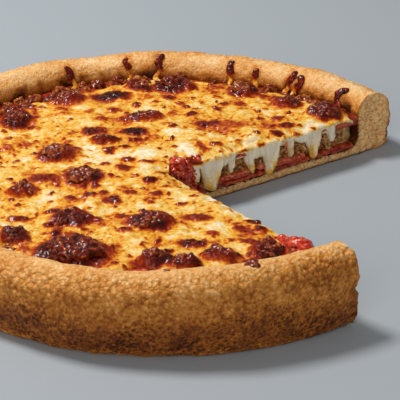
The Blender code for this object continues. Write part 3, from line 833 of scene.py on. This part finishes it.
def baked(flat):
    """Height in mm and browning from 0 to 1 of the cheese at flat places."""
    level = np.array([
        1.3 * noise.noise(Vector((x / 26, y / 26, 3.7))) + 0.8 * noise.noise(Vector((x / 11, y / 11, 8.2)))
        for x, y in flat
    ])
    radius = np.hypot(flat[:, 0], flat[:, 1])
    place = at_height(flat, 0)
    depth = behind_cut(flat)
    edge = rim_edge(np.arctan2(flat[:, 1], flat[:, 0])) - radius
    # A little higher in the middle, lower by the wall, and thin at the cuts and the rim
    level += CHEESE_TOP + 0.8 * (1 - ease(0, 90, radius)) - 1.4 * ease(108, 122, radius)
    level -= 1.9 * ease(5.5, 0, depth) + 1.3 * ease(3.5, 0, edge)

    # Patches are looked up at places that stray, which gives them ragged outlines
    stray = np.column_stack([lumps(place, 6, seed) for seed in (51, 52)]) * 1.5
    stray += np.column_stack([lumps(place, 2.4, seed) for seed in (53, 54)]) * 0.8
    cloud = lumps(place, 17, 55) + 0.8 * lumps(place, 7, 56)
    browning = 0.25 + 0.13 * cloud + 0.11 * lumps(place, 3.6, 61) + 0.08 * lumps(place, 1.9, 62)
    # Flecks of 3 mm, in the browner clouds alone
    browning += 0.24 * ease(0.30, 0.55, lumps(place, 2.9, 65)) * ease(-0.9, 0.3, cloud)
    browning -= 0.12 * ease(9, 0, depth)
    for patch in CREAM:
        browning -= patch[4] * (1 - ease(0.3, 1.5, patch_distance(flat + 2.5 * stray, patch)))
    level -= 0.5 * cloud
    # Each blister has a dark top, a halo round it and its own rise
    for patch in blisters:
        away = patch_distance(flat + stray, patch)
        browning = np.maximum(browning, patch[4] * (1 - ease(0.45, 1.5, away)))
        browning += (0.10 if patch[2] > 7 else 0.05) * (1 - ease(0.9, 2.3, away))
        level += 1.45 * patch[4] * (1 - ease(0.35, 1.15, away))
    # Over a lump of sausage the sheet climbs on one side of it and leaves the other bare
    climb = np.zeros(len(flat))
    for number, patch in enumerate(sunk):
        x, y, length, width, lump_top = patch
        away = patch_distance(flat + stray, patch)
        turn = 2.4 * number
        side = (flat[:, 0] - x) / length * math.cos(turn) + (flat[:, 1] - y) / width * math.sin(turn)
        side = ease(-0.1, 0.3, side + 0.15 * lumps(place, 4, 63))
        browning = np.maximum(browning, (0.90 - 0.16 * side) * (1 - ease(0.8, 1.85, away)))
        rise = min(lump_top - CHEESE_TOP, 5.0) * (0.5 + 0.35 * side)
        climb = np.maximum(climb, rise * (1 - ease(0.6, 1.4, away)))
    level += climb
    rim_heat = ease(16, 2, edge) * ease(-0.3, 0.5, lumps(place, 13, 57))
    browning = np.maximum(browning, 0.66 * rim_heat)
    # Fine relief, stronger where the cheese is dark and dry
    dark = ease(0.35, 0.8, browning)
    level += 0.45 * lumps(place, 4.2, 58) + (0.30 + 0.40 * dark) * lumps(place, 1.9, 59)
    level += 0.40 * lumps(place * (0.4, 1, 1), 3.0, 64)
    level += 0.45 * dark * (0.5 - grains(place, 2.6, 60))
    return level, browning


print(f"the sheet is {baked(np.array([(-30.0, 0.0)]))[0][0]:.1f} mm high near the middle")

# %% [markdown]
# At the cuts the sheet doesn't stop: soft cheese folds over the edge, hangs as a short lip and
# runs down in tongues. A curtain of rows goes from the sheet's edge to a lower hem. It is thin
# at the hem and swells away from it, like a drop, so every tongue is round in section. The hem
# comes first.

# %% The curtain's hem
# Heights in mm of the lip's edge, of the tongues' roots and of the sheet's flat underside
LIP = 23.5
DRIP_TOP = 25.0
CHEESE_UNDER = 19.4
CURTAIN_THICK = 2.6
CURTAIN_ROWS = 34
# Distance from the tip, width and length in mm
TONGUES = {
    "far": (
        (20.8, 5, 12), (31, 13, 19), (38, 14, 7), (44.5, 3, 12), (57, 5, 16), (64, 20, 8),
        (71, 11, 20), (84, 3, 13), (94, 18, 7), (100, 9, 18), (112, 5, 11),
    ),
    "near": (
        (10, 4, 7), (18, 6, 13), (25, 15, 7), (30, 4, 17), (50, 11, 20),
        (57, 20, 8), (66, 3, 13), (81, 9, 18), (88, 16, 8), (106, 6, 13),
    ),
}
# Distance, half width and depth of the places where filling broke out through the edge
BREAKS = {"far": ((12.5, 9.5, 5.5),), "near": ((109, 9, 4.0),)}


def setback(side, distance):
    """How far back from the knife's plane the sheet's edge is."""
    back = 0.0
    for middle, half, depth in BREAKS[side]:
        back = back + depth * ease(1.0, 0.35, np.abs(distance - middle) / half)
    return back


def hem(side, distance):
    """Height of the curtain's lower edge."""
    line = at_cut(side, distance, 0, 0)
    lower = LIP + 1.2 * lumps(line, 9, 61) + 0.5 * lumps(line, 2.5, 62)
    for middle, width, length in TONGUES[side]:
        away = np.abs(distance - middle - 0.8 * lumps(line, 4, 63)) / (width / 2)
        body = (1 - np.clip(away, 0, 1) ** 2.6) ** 0.75
        drop = 0.74 * body + 0.26 * np.exp(-(away / 1.5) ** 2)
        lower = np.minimum(lower, LIP - (LIP - DRIP_TOP + length) * drop)
    return lower + 1.5 * ease(0.5, 4, setback(side, distance))


for side, row in TONGUES.items():
    print(f"{len(row)} tongues hang over the {side} cut")

# %% [markdown]
# Each row of the curtain is a share of the way from the sheet's edge to the hem. It stands out by
# a thickness that ends at the hem, and sways a little more the lower it is. The last rows turn
# under, to the sheet's flat underside.

# %% The cheese curtain
def curtain(side, distance, edge):
    """Rows of points from the sheet's edge over the cut, down to the hem and up behind it."""
    along, outward = cut_frame(side)
    middle = (CUT_ANGLE["near"] + CUT_ANGLE["far"]) / 2
    forward = np.array([math.cos(middle), math.sin(middle)])
    # Straight out of the cut, but out of the wedge's middle at the tip, where both curtains meet
    turn = ease(6, 0, distance)[:, None]
    out = turn * forward + (1 - turn) * outward
    out /= np.linalg.norm(out, axis=1)[:, None]
    lower = np.minimum(hem(side, distance), edge[:, 2] - 2.0)
    taper = ease(0, 3, distance[-1] - distance)
    rows = []
    for share in 1 - np.cos(np.linspace(0, math.pi / 2, CURTAIN_ROWS + 1)):
        height = edge[:, 2] + share * (lower - edge[:, 2])
        # How far this place is from the hem, and the thickness that follows from it
        gap = np.hypot(distance[:, None] - distance, height[:, None] - lower).min(1)
        swell = np.sqrt(1 - (1 - np.minimum(gap / 3.0, 1)) ** 2)
        rounded = np.sqrt(1 - (1 - np.minimum((edge[:, 2] - height) / 2.3, 1)) ** 2)
        ridges = 1 + 0.30 * lumps(at_height(edge[:, :2] / 3.2, height / 9), 1, 64)
        # Long tongues are thin in the middle and end in a drop
        long = ease(7, 12, edge[:, 2] - lower)
        drop = 1 + 0.5 * long * ease(7, 3, height - lower) - 0.25 * long * ease(5, 9, height - lower)
        thick = CURTAIN_THICK * swell * rounded * ridges * drop * taper
        bend = lumps(at_height(edge[:, :2] / 12, height / 8), 1, 66)
        sway = 1.8 * taper * share * ease(0, 5, distance) * bend
        flat = edge[:, :2] + thick[:, None] * out + sway[:, None] * along
        rows.append(at_height(flat, height))
    under = edge[:, :2] - 0.3 * out
    last = rows[-1].copy()
    for share in (0.35, 0.7, 1.0):
        rows.append(last + share * (at_height(under, CHEESE_UNDER) - last))
    return np.stack(rows)


print(f"a curtain has {CURTAIN_ROWS + 4} rows and is about {CURTAIN_THICK} mm thick")

# %% [markdown]
# The sheet is a filled outline with triangles finer than its smallest blister. The points of
# its edge are also the first row of each curtain and of the rim, so the skin has no gaps.

# %% Sewing the sheet
RIM_COLUMNS = 680
SHEET_SPACING = 0.8
INNER_WALL = 124
rim = arc(INNER_WALL, RIM_COLUMNS)
rim *= (rim_edge(np.arctan2(rim[:, 1], rim[:, 0])) / np.hypot(*rim.T))[:, None]
lines = {}
# The sheet's edge along each cut, set back where filling broke out
for side, corner in (("far", rim[0]), ("near", rim[-1])):
    distance = steps_to(reach(side, math.hypot(*corner)))
    lines[side] = distance, at_cut(side, distance, -setback(side, distance) * (distance > 0.1), 0)[:, :2]
rim[0], rim[-1] = lines["far"][1][-1], lines["near"][1][-1]
outline = np.vstack([lines["far"][1][:-1], rim, lines["near"][1][-2:0:-1]])
flat, faces = filled(outline, SHEET_SPACING)
top = at_height(flat, baked(flat)[0])
patches = [(top, faces)]
far_count = len(lines["far"][0]) - 1
near_start = far_count + len(rim)
edges = {
    "far": top[: far_count + 1],
    "near": np.vstack([top[:1], top[near_start : len(outline)][::-1], top[near_start - 1][None]]),
}
curtains = {side: curtain(side, lines[side][0], edges[side]) for side in lines}
curtains["near"][:, 0] = curtains["far"][:, 0]
patches += [quilt(curtains["far"], flip=True), quilt(curtains["near"])]
rim_top = top[far_count:near_start]
# How far each row of the rim stands in, in mm, and its share of the way down
rim_rows = []
for inwards, share in ((0, 0), (-0.5, 0.25), (-0.2, 0.6), (0.3, 1)):
    row = rim_top - at_height(rim_top[:, :2] / INNER_WALL * inwards, 0)
    row[:, 2] = rim_top[:, 2] + share * (CHEESE_UNDER - rim_top[:, 2])
    rim_rows.append(row)
rim_rows = np.stack(rim_rows)
rim_rows[-1, 0], rim_rows[-1, -1] = curtains["far"][-1, -1], curtains["near"][-1, -1]
patches.append(quilt(rim_rows, flip=True))
for column, side, flip in ((0, "far", False), (-1, "near", True)):
    lace, lace_faces = laced(curtains[side][:, -1], rim_rows[:, column])
    patches.append((lace, lace_faces[:, ::-1] if flip else lace_faces))
under = np.vstack([curtains["far"][-1, :-1], rim_rows[-1], curtains["near"][-1, -2:0:-1]])
flat, faces = filled(under[:, :2], 6)
patches.append((at_height(flat, CHEESE_UNDER), faces[:, ::-1]))
points, faces = joined(patches)
print(f"cheese skin: {len(points)} points")

# %% [markdown]
# The curtain browns where it is thin: cream where it folds over the edge, then yellow and
# orange towards the hem, where sauce and fat soak into it.

# %% The cheese
browning = baked(points[:, :2])[1]
steep = ease(0.75, 0.45, np.abs(normals_of(points, faces)[:, 2]))
hanging = (behind_cut(points[:, :2]) < 6.5) * ease(25.2, 22.8, points[:, 2]) * steep
stain = -0.04 + 0.30 * ease(22, 8, points[:, 2]) + 0.14 * lumps(points, 6, 67)
stain += 0.14 * lumps(points * (1, 1, 0.25), 2.4, 68)
browning += hanging * (stain - browning)
food_piece("melted_cheese", hand_shaped(points), faces, cheese, "baked_cheese", ["cheese"],
           browning=browning)

# %% [markdown]
# Ground sausage is what fills the pizza, and the cut shows it as craggy crumbs. Crumbs repeat,
# so Geometry Nodes makes them: points scattered at an even spacing on a guide surface, a ball
# on each point, all made real, and then one noise that pushes every ball into its own shape.

# %% Crumbs by Geometry Nodes
CRUMB_INPUTS = {
    "Spacing": 5.0 * MM, "Smallest": 2.6 * MM, "Largest": 4.2 * MM, "Crags": 1.0 * MM,
    "Detail": 4, "Bare": 0.0,
}


def crumb_nodes(finish):
    """A node group that covers a guide surface with craggy crumbs."""
    tree = bpy.data.node_groups.new("crumbs_on_a_surface", "GeometryNodeTree")
    tree.interface.new_socket("Guide", in_out="INPUT", socket_type="NodeSocketGeometry")
    for title, value in CRUMB_INPUTS.items():
        kind = "NodeSocketInt" if isinstance(value, int) else "NodeSocketFloat"
        tree.interface.new_socket(title, in_out="INPUT", socket_type=kind).default_value = value
    tree.interface.new_socket("Crumbs", in_out="OUTPUT", socket_type="NodeSocketGeometry")
    given = add(tree, "NodeGroupInput").outputs
    home = add(tree, "GeometryNodeInputPosition").outputs[0]
    patchy = add(tree, "ShaderNodeTexNoise", {"Vector": home, "Scale": per_mm(26)}).outputs[0]
    kept = add(tree, "FunctionNodeCompare", {0: patchy, 1: given["Bare"]}).outputs[0]
    scatter = add(tree, "GeometryNodeDistributePointsOnFaces", {
        "Mesh": given["Guide"], "Distance Min": given["Spacing"], "Density Max": 9e5, "Seed": 4,
        "Selection": kept,
    }, distribute_method="POISSON")
    ball = add(tree, "GeometryNodeMeshIcoSphere", {"Radius": 1.0, "Subdivisions": given["Detail"]})
    turn = add(tree, "FunctionNodeRandomValue", {"Max": (6.28, 6.28, 6.28), "Seed": 5},
               data_type="FLOAT_VECTOR")
    size = add(tree, "FunctionNodeRandomValue", {2: given["Smallest"], 3: given["Largest"], "Seed": 6})
    squash = add(tree, "FunctionNodeRandomValue", {0: (0.75, 0.75, 0.7), 1: (1.15, 1.1, 1.0), "Seed": 7},
                 data_type="FLOAT_VECTOR")
    scale = add(tree, "ShaderNodeVectorMath", {0: squash.outputs[0], "Scale": size.outputs[1]},
                operation="SCALE")
    balls = add(tree, "GeometryNodeInstanceOnPoints", {
        "Points": scatter.outputs["Points"], "Instance": ball.outputs["Mesh"],
        "Rotation": turn.outputs[0], "Scale": scale.outputs[0],
    })
    shade = add(tree, "FunctionNodeRandomValue", {2: -0.12, 3: 0.16, "Seed": 8})
    toned = add(tree, "GeometryNodeStoreNamedAttribute", {
        "Geometry": balls.outputs["Instances"], "Name": "tone", "Value": shade.outputs[1],
    }, data_type="FLOAT", domain="INSTANCE")
    real = add(tree, "GeometryNodeRealizeInstances", {"Geometry": toned.outputs["Geometry"]})
    where = add(tree, "GeometryNodeInputPosition").outputs[0]
    facing = add(tree, "GeometryNodeInputNormal").outputs[0]
    crag = add(tree, "ShaderNodeTexNoise", {"Vector": where, "Scale": per_mm(4.2), "Detail": 2.0}).outputs[0]
    grain = add(tree, "ShaderNodeTexVoronoi", {"Vector": where, "Scale": per_mm(2.1)}).outputs["Distance"]
    both = add(tree, "ShaderNodeMath", {0: crag, 1: 2.2, 2: -1.1}, operation="MULTIPLY_ADD").outputs[0]
    push = add(tree, "ShaderNodeMath", {0: grain, 1: -0.9, 2: both}, operation="MULTIPLY_ADD").outputs[0]
    depth = add(tree, "ShaderNodeMath", {0: push, 1: given["Crags"]}, operation="MULTIPLY").outputs[0]
    move = add(tree, "ShaderNodeVectorMath", {0: facing, "Scale": depth}, operation="SCALE").outputs[0]
    moved = add(tree, "GeometryNodeSetPosition", {"Geometry": real.outputs[0], "Offset": move})
    smooth = add(tree, "GeometryNodeSetShadeSmooth", {"Geometry": moved.outputs[0]})
    dressed = add(tree, "GeometryNodeSetMaterial", {"Geometry": smooth.outputs[0], "Material": finish})
    add(tree, "NodeGroupOutput", {"Crumbs": dressed.outputs[0]})
    return tree


print("the crumbs have these inputs:", ", ".join(CRUMB_INPUTS))

# %% [markdown]
# The tree runs as a modifier on a guide surface. Its inputs are set by their identifiers, before
# the first evaluation. The result replaces the guide as a plain mesh, and the modifier goes.

# %% Crumbs on a guide
def crumbs_on(name, guide_points, guide_faces, finish, slot, nodes=(), **given):
    """Covers a guide surface with crumbs and keeps the result as a plain mesh."""
    mesh = bpy.data.meshes.new(name)
    mesh.from_pydata((guide_points * MM).tolist(), [], guide_faces.tolist())
    obj = bpy.data.objects.new(name, mesh)
    bpy.context.scene.collection.objects.link(obj)
    nodes_modifier = obj.modifiers.new("crumbs", "NODES")
    nodes_modifier.node_group = crumb_nodes(finish)
    for socket in nodes_modifier.node_group.interface.items_tree:
        if socket.name in given:
            nodes_modifier[socket.identifier] = given[socket.name]
    graph = bpy.context.evaluated_depsgraph_get()
    obj.data = bpy.data.meshes.new_from_object(obj.evaluated_get(graph))
    obj.modifiers.clear()
    return placed(obj, nodes)


# %% [markdown]
# Behind each cut stands a guide, three rows high, a little deeper than the knife's plane. The
# crumbs on it reach forward to the plane, as they do where a real one is cut.

# %% Crumbs in the cuts
# How far behind the cut the guide stands, and the heights of its rows, in mm
BEHIND = 4.7
guides = []
for side in ("far", "near"):
    run = np.linspace(7, 119, 40)
    levels = (9.4, 13.2, 17.0)
    rows = np.stack([hand_shaped(at_cut(side, run, -BEHIND, level)) for level in levels])
    guides.append(quilt(rows, flip=side == "far"))
guide, guide_faces = joined(guides)
crumbs_on("filling_crumbs", guide, guide_faces, ground, "ground_sausage",
          Spacing=4.6 * MM, Smallest=2.7 * MM, Largest=4.9 * MM, Crags=1.4 * MM)

# %% [markdown]
# Round the rim the cheese is thin or missing. Sauce shines through there, dark from the heat,
# and browned crumbs stick out of it against the wall.

# %% Sauce and crumbs at the rim
inner, outer_edge = arc(108, 400), arc(126.4, 420)
points, faces = slab(np.vstack([outer_edge, inner[::-1]]), 19.6, 24.0, spacing=1.1)
top_side = ease(23, 23.8, points[:, 2])
points[:, 2] += top_side * (0.7 * lumps(points, 7, 71) + 0.4 * lumps(points, 2.6, 72))
food_piece("rim_sauce", hand_shaped(points), faces, sauce, "tomato_sauce")

# Radius and height of the guide's rows, in mm
levels = ((115.5, 23.6), (119, 24.0), (122.6, 24.8))
rows = np.stack([at_height(arc(radius, 240)[3:-3], height) for radius, height in levels])
guide, guide_faces = quilt(hand_shaped(rows.reshape(-1, 3)).reshape(rows.shape), flip=True)
crumbs_on("rim_crumbs", guide, guide_faces, seared, "browned_sausage",
          Spacing=5.4 * MM, Smallest=2.2 * MM, Largest=5.2 * MM, Crags=1.6 * MM, Bare=0.44)

# %% [markdown]
# The big lumps of sausage on top are the solids' own, rounded by subdivision. They are clumps
# of grains, so a pattern of small domes is pushed out of them and the gaps between sink in.
# Smaller ones lie in the sauce where the cheese drew back, and two stuck to the crest.

# %% Lumps of meat
def refined(name, levels):
    """Points and triangles of a solid, merged and subdivided."""
    bm = bmesh.new()
    bm.from_mesh(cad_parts[name].data)
    bmesh.ops.remove_doubles(bm, verts=bm.verts, dist=0.01 * MM)
    mesh = bpy.data.meshes.new(name + "_fine")
    bm.to_mesh(mesh)
    bm.free()
    obj = bpy.data.objects.new(name + "_fine", mesh)
    bpy.context.scene.collection.objects.link(obj)
    subdivision = obj.modifiers.new("round", "SUBSURF")
    subdivision.levels = subdivision.render_levels = levels
    smooth = obj.evaluated_get(bpy.context.evaluated_depsgraph_get()).to_mesh()
    smooth.calc_loop_triangles()
    points = np.array([vertex.co for vertex in smooth.vertices]) / MM
    faces = np.array([triangle.vertices[:] for triangle in smooth.loop_triangles])
    bpy.data.objects.remove(obj)
    return points, faces


def clump(points, faces, depth, size, seed):
    """Pushes a lump into a clump of grains."""
    push = 1.3 * (0.55 - grains(points, size, seed)) + 0.5 * (0.5 - grains(points, size * 0.45, seed + 1))
    push = depth * (push + 1.3 * lumps(points, 2.4 * size, seed) + 0.5 * lumps(points, size, seed + 2))
    return points + normals_of(points, faces) * push[:, None]


def ball_of(size, detail=4):
    """Points and triangles of a round lump, its three sizes in mm."""
    bm = bmesh.new()
    bmesh.ops.create_icosphere(bm, subdivisions=detail, radius=0.5)
    points = np.array([vertex.co for vertex in bm.verts]) * size
    faces = np.array([[vertex.index for vertex in face.verts] for face in bm.faces])
    bm.free()
    return points, faces


def on_roll(angle, up, over=0.0):
    """A place on the rolled wall: angle round the pizza and angle over the roll, in degrees."""
    angle, up = np.radians(angle), np.radians(up)
    out = ROLL_MIDDLE[0] + (ROLL_RADIUS + over) * np.cos(up)
    height = ROLL_MIDDLE[1] + (ROLL_RADIUS + over) * np.sin(up)
    places = np.broadcast_arrays(out * np.cos(angle), out * np.sin(angle), height)
    return hand_shaped(np.column_stack(places))


print(len(SAUSAGE), "lumps come from the solids")

# %% [markdown]
# All the browned lumps are one piece, since they share a finish. Each gets a tone of its own, so
# that some are darker than others.

# %% Sausage on top
# Angle round the pizza, distance from its middle, height and three sizes, in mm
RIM_LUMPS = (
    (141, 116, 25.0, (11, 8, 6)), (136, 112, 25.5, (9, 8, 6)), (131, 118, 25.0, (12, 7, 6)),
    (127, 112, 25.5, (8, 7, 5)), (122, 117, 25.5, (11, 8, 7)), (116, 113, 25.5, (9, 6, 5)),
    (111, 118, 25.5, (10, 7, 6)), (106, 114, 25.5, (8, 6, 5)), (99, 118, 25.5, (10, 7, 6)),
    (147, 120, 25.0, (9, 7, 6)), (153, 117, 25.0, (8, 7, 5)), (87, 120, 26.0, (9, 7, 6)),
)
# Angle round the pizza, angle up the roll, and three sizes in mm
KNOBS = ((-72, 86, (7.5, 6.5, 4.6)), (-88.5, 98, (4.4, 3.8, 3.0)))
skins = []
for number, name in enumerate(SAUSAGE):
    points, faces = refined(name, 3)
    middle = points.mean(0)
    points = middle + (points - middle) * (0.95, 0.95, 0.85)
    skins.append((clump(points, faces, 1.15, 2.7, 80 + number), faces))
for number, (angle, radius, height, size) in enumerate(RIM_LUMPS):
    lump, faces = ball_of(np.array(size)[[1, 0, 2]])
    turn = math.radians(angle)
    x, y = lump[:, 0].copy(), lump[:, 1].copy()
    lump[:, 0] = (radius + x) * math.cos(turn) - y * math.sin(turn)
    lump[:, 1] = (radius + x) * math.sin(turn) + y * math.cos(turn)
    lump[:, 2] += height
    skins.append((clump(lump, faces, 1.0, 2.7, 180 + number), faces))
for number, (angle, up, size) in enumerate(KNOBS):
    knob, faces = ball_of(np.array(size), 5 - number)
    knob += on_roll(angle, up, -1.3)
    skins.append((clump(knob, faces, 0.8, 2.6, 105 + number), faces))
points, faces = stacked(skins)
tones = np.random.default_rng(5).uniform(-0.12, 0.10, len(skins))
tone = np.repeat(tones, [len(skin) for skin, _ in skins]) + 0.10 * lumps(points, 6, 77)
food_piece("browned_sausage", points, faces, seared, "browned_sausage", SAUSAGE, tone=tone)

# %% [markdown]
# Near the tip of the far cut the knife pulled the cheese off, and sausage soaked in sauce shows
# from the floor to the top. A few more wet pieces lie in the second break, by the wall. Beads
# of meat stand out of each piece, because it's their round tops that catch the light. Low down
# by the tip the pieces are painted darker, as shade in the wedge's deep corner.

# %% Sausage in sauce at the breaks
# Distance along the cut, how proud, height and size, in mm
WET_PIECES = {
    "far": (
        (7, -3.4, 22, 8), (12, -3.8, 23.5, 9), (18, -4.2, 23.5, 9), (23, -3.8, 22.5, 8), (9, -3.6, 16, 9),
        (15, -3.2, 18.5, 9), (21, -3.6, 17, 9), (6, -3.0, 11, 7), (13, -3.4, 11.5, 9), (20, -3.6, 11, 8),
        (26, -3.6, 19, 6), (10, -1.6, 20.5, 5.5), (16, -1.2, 14, 5), (17.5, -1.4, 21.5, 5),
        (12.5, -1.2, 15.5, 5),
    ),
    "near": (
        (103, -3.4, 22, 7), (108, -3.8, 23.5, 8), (114, -3.8, 22, 8), (107, -3.4, 17, 7),
        (113, -3.4, 16.5, 8), (119, -3.6, 23.5, 6),
    ),
}
BEADS = 7
draw = np.random.default_rng(8)
skins = []
for side, row in WET_PIECES.items():
    along, outward = cut_frame(side)
    for number, (distance, proud, height, size) in enumerate(row):
        points, faces = ball_of(draw.uniform(0.8, 1.25, 3) * size)
        points += at_cut(side, distance, proud, height)
        skins.append((clump(points, faces, 1.3, 2.9, 110 + number), faces))
        for _ in range(BEADS):
            turn, tilt = draw.uniform(-1.3, 1.3), draw.uniform(-0.7, 1.3)
            toward = np.array([math.sin(turn), math.cos(turn) * math.cos(tilt), math.sin(tilt)])
            reached = 0.46 * size * toward
            bead, faces = ball_of(draw.uniform(2.0, 3.6, 3), 3)
            bead += at_cut(side, distance + reached[0], proud + reached[1], height + reached[2])
            skins.append((clump(bead, faces, 0.5, 1.5, 200 + number), faces))
points, faces = stacked(skins)
# Painted shade: pieces low down near the tip, in the wedge's deep corner, are painted darker
tip_shade = ease(13, 4, (points[:, :2] - TIP) @ cut_frame("far")[0]) * ease(25, 20, points[:, 2])
tone = 0.06 + 0.16 * lumps(points, 5, 78) - 0.42 * tip_shade
food_piece("wet_sausage", hand_shaped(points), faces, saucy, "ground_sausage", tone=tone)

# %% [markdown]
# One chopped tomato lies at the wall end of the near cut, with a few scraps of its flesh, and two
# strips lie by the wall. Cut flesh is craggy and angular, so the push is used with bigger grains.

# %% Tomato
# Distance along the near cut, how proud, height and size of the scraps, in mm
SCRAPS = (
    (104, -1.5, 25.5, 7), (119.5, -2.2, 26.5, 7), (100, -3.4, 26.2, 6), (121, -5.5, 27, 6),
    (116, -2.0, 20, 5), (110, -1.6, 19.5, 5), (115, -8.0, 27.5, 7), (107, -5.0, 27.5, 6),
    (96, -2.6, 26.0, 5),
)
# Middle and height in mm, three sizes, and turn in degrees of the strips by the wall
STRIPS = ((-13, -114, 25.5, (17, 5, 4), 20), (3, -116, 25.2, (10, 5, 4), 5))
tomato, faces = refined("tomato_piece", 3)
middle = tomato.mean(0)
skins = [(clump(middle + (tomato - middle) * (1.05, 1.05, 1.0), faces, 1.5, 4.0, 79), faces)]
for number, (distance, proud, height, size) in enumerate(SCRAPS):
    scrap, faces = ball_of(draw.uniform(0.75, 1.3, 3) * size)
    scrap += at_cut("near", distance, proud, height)
    skins.append((hand_shaped(clump(scrap, faces, 1.2, 3.2, 140 + number)), faces))
for number, (x, y, height, size, turn) in enumerate(STRIPS):
    strip, faces = ball_of(np.array(size))
    turn = math.radians(turn)
    across = strip[:, :2] @ np.array([[math.cos(turn), math.sin(turn)], [-math.sin(turn), math.cos(turn)]])
    strip = at_height(across + (x, y), strip[:, 2] + height)
    skins.append((clump(strip, faces, 0.8, 3.2, 160 + number), faces))
food_piece("tomato_chunk", *stacked(skins), stewed, "tomato", ["tomato_piece"])

# %% [markdown]
# A few shreds of cheese landed on the wall and baked there, almost black-red at the top. Each
# runs down into the sheet, thinner and paler. It is a tube round a path over the roll, so its
# width and its browning can change along the way.

# %% Shreds on the wall
# Spacing of the points along a shred, in mm
PATH_STEP = 0.4


def wall_path(angle, up):
    """Points from a place on the roll down to the sheet of cheese, and the way out of the wall."""
    turns = np.radians(np.arange(up, 170, 3))
    over = ROLL_MIDDLE + (ROLL_RADIUS - 0.3) * np.column_stack([np.cos(turns), np.sin(turns)])
    path = spaced(np.vstack([over, [(124.6, 25.6), (123.2, 24.4), (121.8, 23.0)]]), PATH_STEP)
    for _ in range(6):
        path[1:-1] = (path[:-2] + 2 * path[1:-1] + path[2:]) / 4
    run = np.gradient(path, axis=0)
    away = np.column_stack([run[:, 1], -run[:, 0]]) / np.hypot(*run.T)[:, None]
    turn = np.radians(angle)
    flat = np.column_stack([np.cos(turn), np.sin(turn)])
    return at_height(path[:, :1] * flat, path[:, 1]), at_height(away[:, :1] * flat, away[:, 1])


def tube(path, away, thick, width):
    """A closed tube along a path: its thickness along `away` and its width across."""
    run = np.gradient(path, axis=0)
    across = np.cross(run, away)
    across /= np.linalg.norm(across, axis=1)[:, None]
    rows = []
    for turn in np.linspace(0, 2 * math.pi, 19):
        sideways = math.cos(turn) * across * width[:, None]
        upwards = math.sin(turn) * away * thick[:, None]
        rows.append(path + (sideways + upwards) / 2)
    rows[-1] = rows[0]
    return joined([quilt(np.stack(rows))])


skins, marks = [], []
for number, (angle, up, length) in enumerate(SHREDS):
    count = len(wall_path(angle, up)[0])
    run = PATH_STEP * np.arange(count)
    left = run[-1] - run
    steady = np.column_stack([run, run * 0, run * 0])
    path, away = wall_path(angle + 1.6 * lumps(steady, 7, 160 + number) * ease(0, 3, left), up)
    head = np.clip(1 - (2 * run / length - 1) ** 2, 0, 1) ** 0.5
    ends = np.sqrt(np.clip(run / 0.8, 0, 1) * np.clip(left / 0.8, 0, 1))
    uneven = 1 + 0.3 * lumps(steady, 2.6, 150 + number)
    width = (2.2 + 2.2 * head + 0.8 * ease(8, 2, left)) * uneven * ends
    thick = (0.8 + 1.2 * head + 0.5 * ease(7, 2, left)) * uneven * ends
    skin, skin_faces = tube(path, away, thick, width)
    nearest = KDTree(count)
    for place, point in enumerate(path):
        nearest.insert(point, place)
    nearest.balance()
    along = run[[nearest.find(point)[1] for point in skin]]
    skins.append((hand_shaped(clump(skin, skin_faces, 0.35, 2.2, 150 + number)), skin_faces))
    fried = 0.36 * ease(length + 1, length - 3, along) + 0.26 * ease(length + 9, length - 1, along)
    marks.append(0.20 + fried + 0.20 * lumps(skin, 2.2, 180))
food_piece("wall_shreds", *stacked(skins), cheese, "baked_cheese", browning=np.concatenate(marks))

# %% [markdown]
# The floor is a plain pale sheet and the light is a studio's: one broad soft lamp above and a
# little behind, as the pale crest and the darker front wall show, and a weak one in front.

# %% Floor and light
def plain_floor():
    material, tree, shader, _ = new_finish("painted_board")
    set_up(tree, shader, {"Base Color": colour("#A9B3BD"), "Roughness": 0.7})
    mesh = bpy.data.meshes.new("floor")
    mesh.from_pydata([(-6, -6, 0), (6, -6, 0), (6, 6, 0), (-6, 6, 0)], [], [(0, 1, 2, 3)])
    mesh.materials.append(material)
    floor = bpy.data.objects.new("floor", mesh)
    bpy.context.scene.collection.objects.link(floor)


def soft_lamp(name, place, target, size, power, tint):
    lamp = bpy.data.lights.new(name, "AREA")
    lamp.shape, lamp.size, lamp.energy, lamp.color = "DISK", size, power, tint
    obj = bpy.data.objects.new(name, lamp)
    obj.location = place
    obj.rotation_euler = (Vector(target) - Vector(place)).to_track_quat("-Z", "Y").to_euler()
    bpy.context.scene.collection.objects.link(obj)


plain_floor()
# Place and target in m, size in m, power in W and tint
soft_lamp("top_lamp", (-0.55, 0.30, 1.15), (0, 0, 0), 0.34, 13.6, (1.0, 0.96, 0.90))
soft_lamp("front_lamp", (-0.35, -1.25, 0.7), (0, 0, 0), 0.8, 5.0, (1.0, 0.94, 0.87))
world = bpy.data.worlds.new("studio")
world.use_nodes = True
world.node_tree.nodes["Background"].inputs["Color"].default_value = (1.0, 0.98, 0.95, 1)
world.node_tree.nodes["Background"].inputs["Strength"].default_value = 0.23
bpy.context.scene.world = world
bpy.context.scene.view_settings.view_transform = "Standard"
print("lamps:", ", ".join(lamp.name for lamp in bpy.data.lights))

# %% [markdown]
# The camera stands in front and looks down at about 27 degrees through a long lens, which keeps
# the round of the pizza from looking stretched.

# %% Camera
lens = bpy.data.cameras.new("camera")
lens.lens = 145.7
lens.clip_start = 0.02
camera = bpy.data.objects.new("camera", lens)
camera.location = Vector((18.5, -768.7, 396.0)) * MM
camera.rotation_euler = (math.radians(63.1), 0, 0)
bpy.context.scene.collection.objects.link(camera)
bpy.context.scene.camera = camera
print(f"camera {camera.location.length:.2f} m away, lens {lens.lens:.0f} mm")

# %% [markdown]
# Last, the names of the pieces made are printed.

# %% The pieces made
print("pieces:", ", ".join(piece.name for piece in pieces_made))
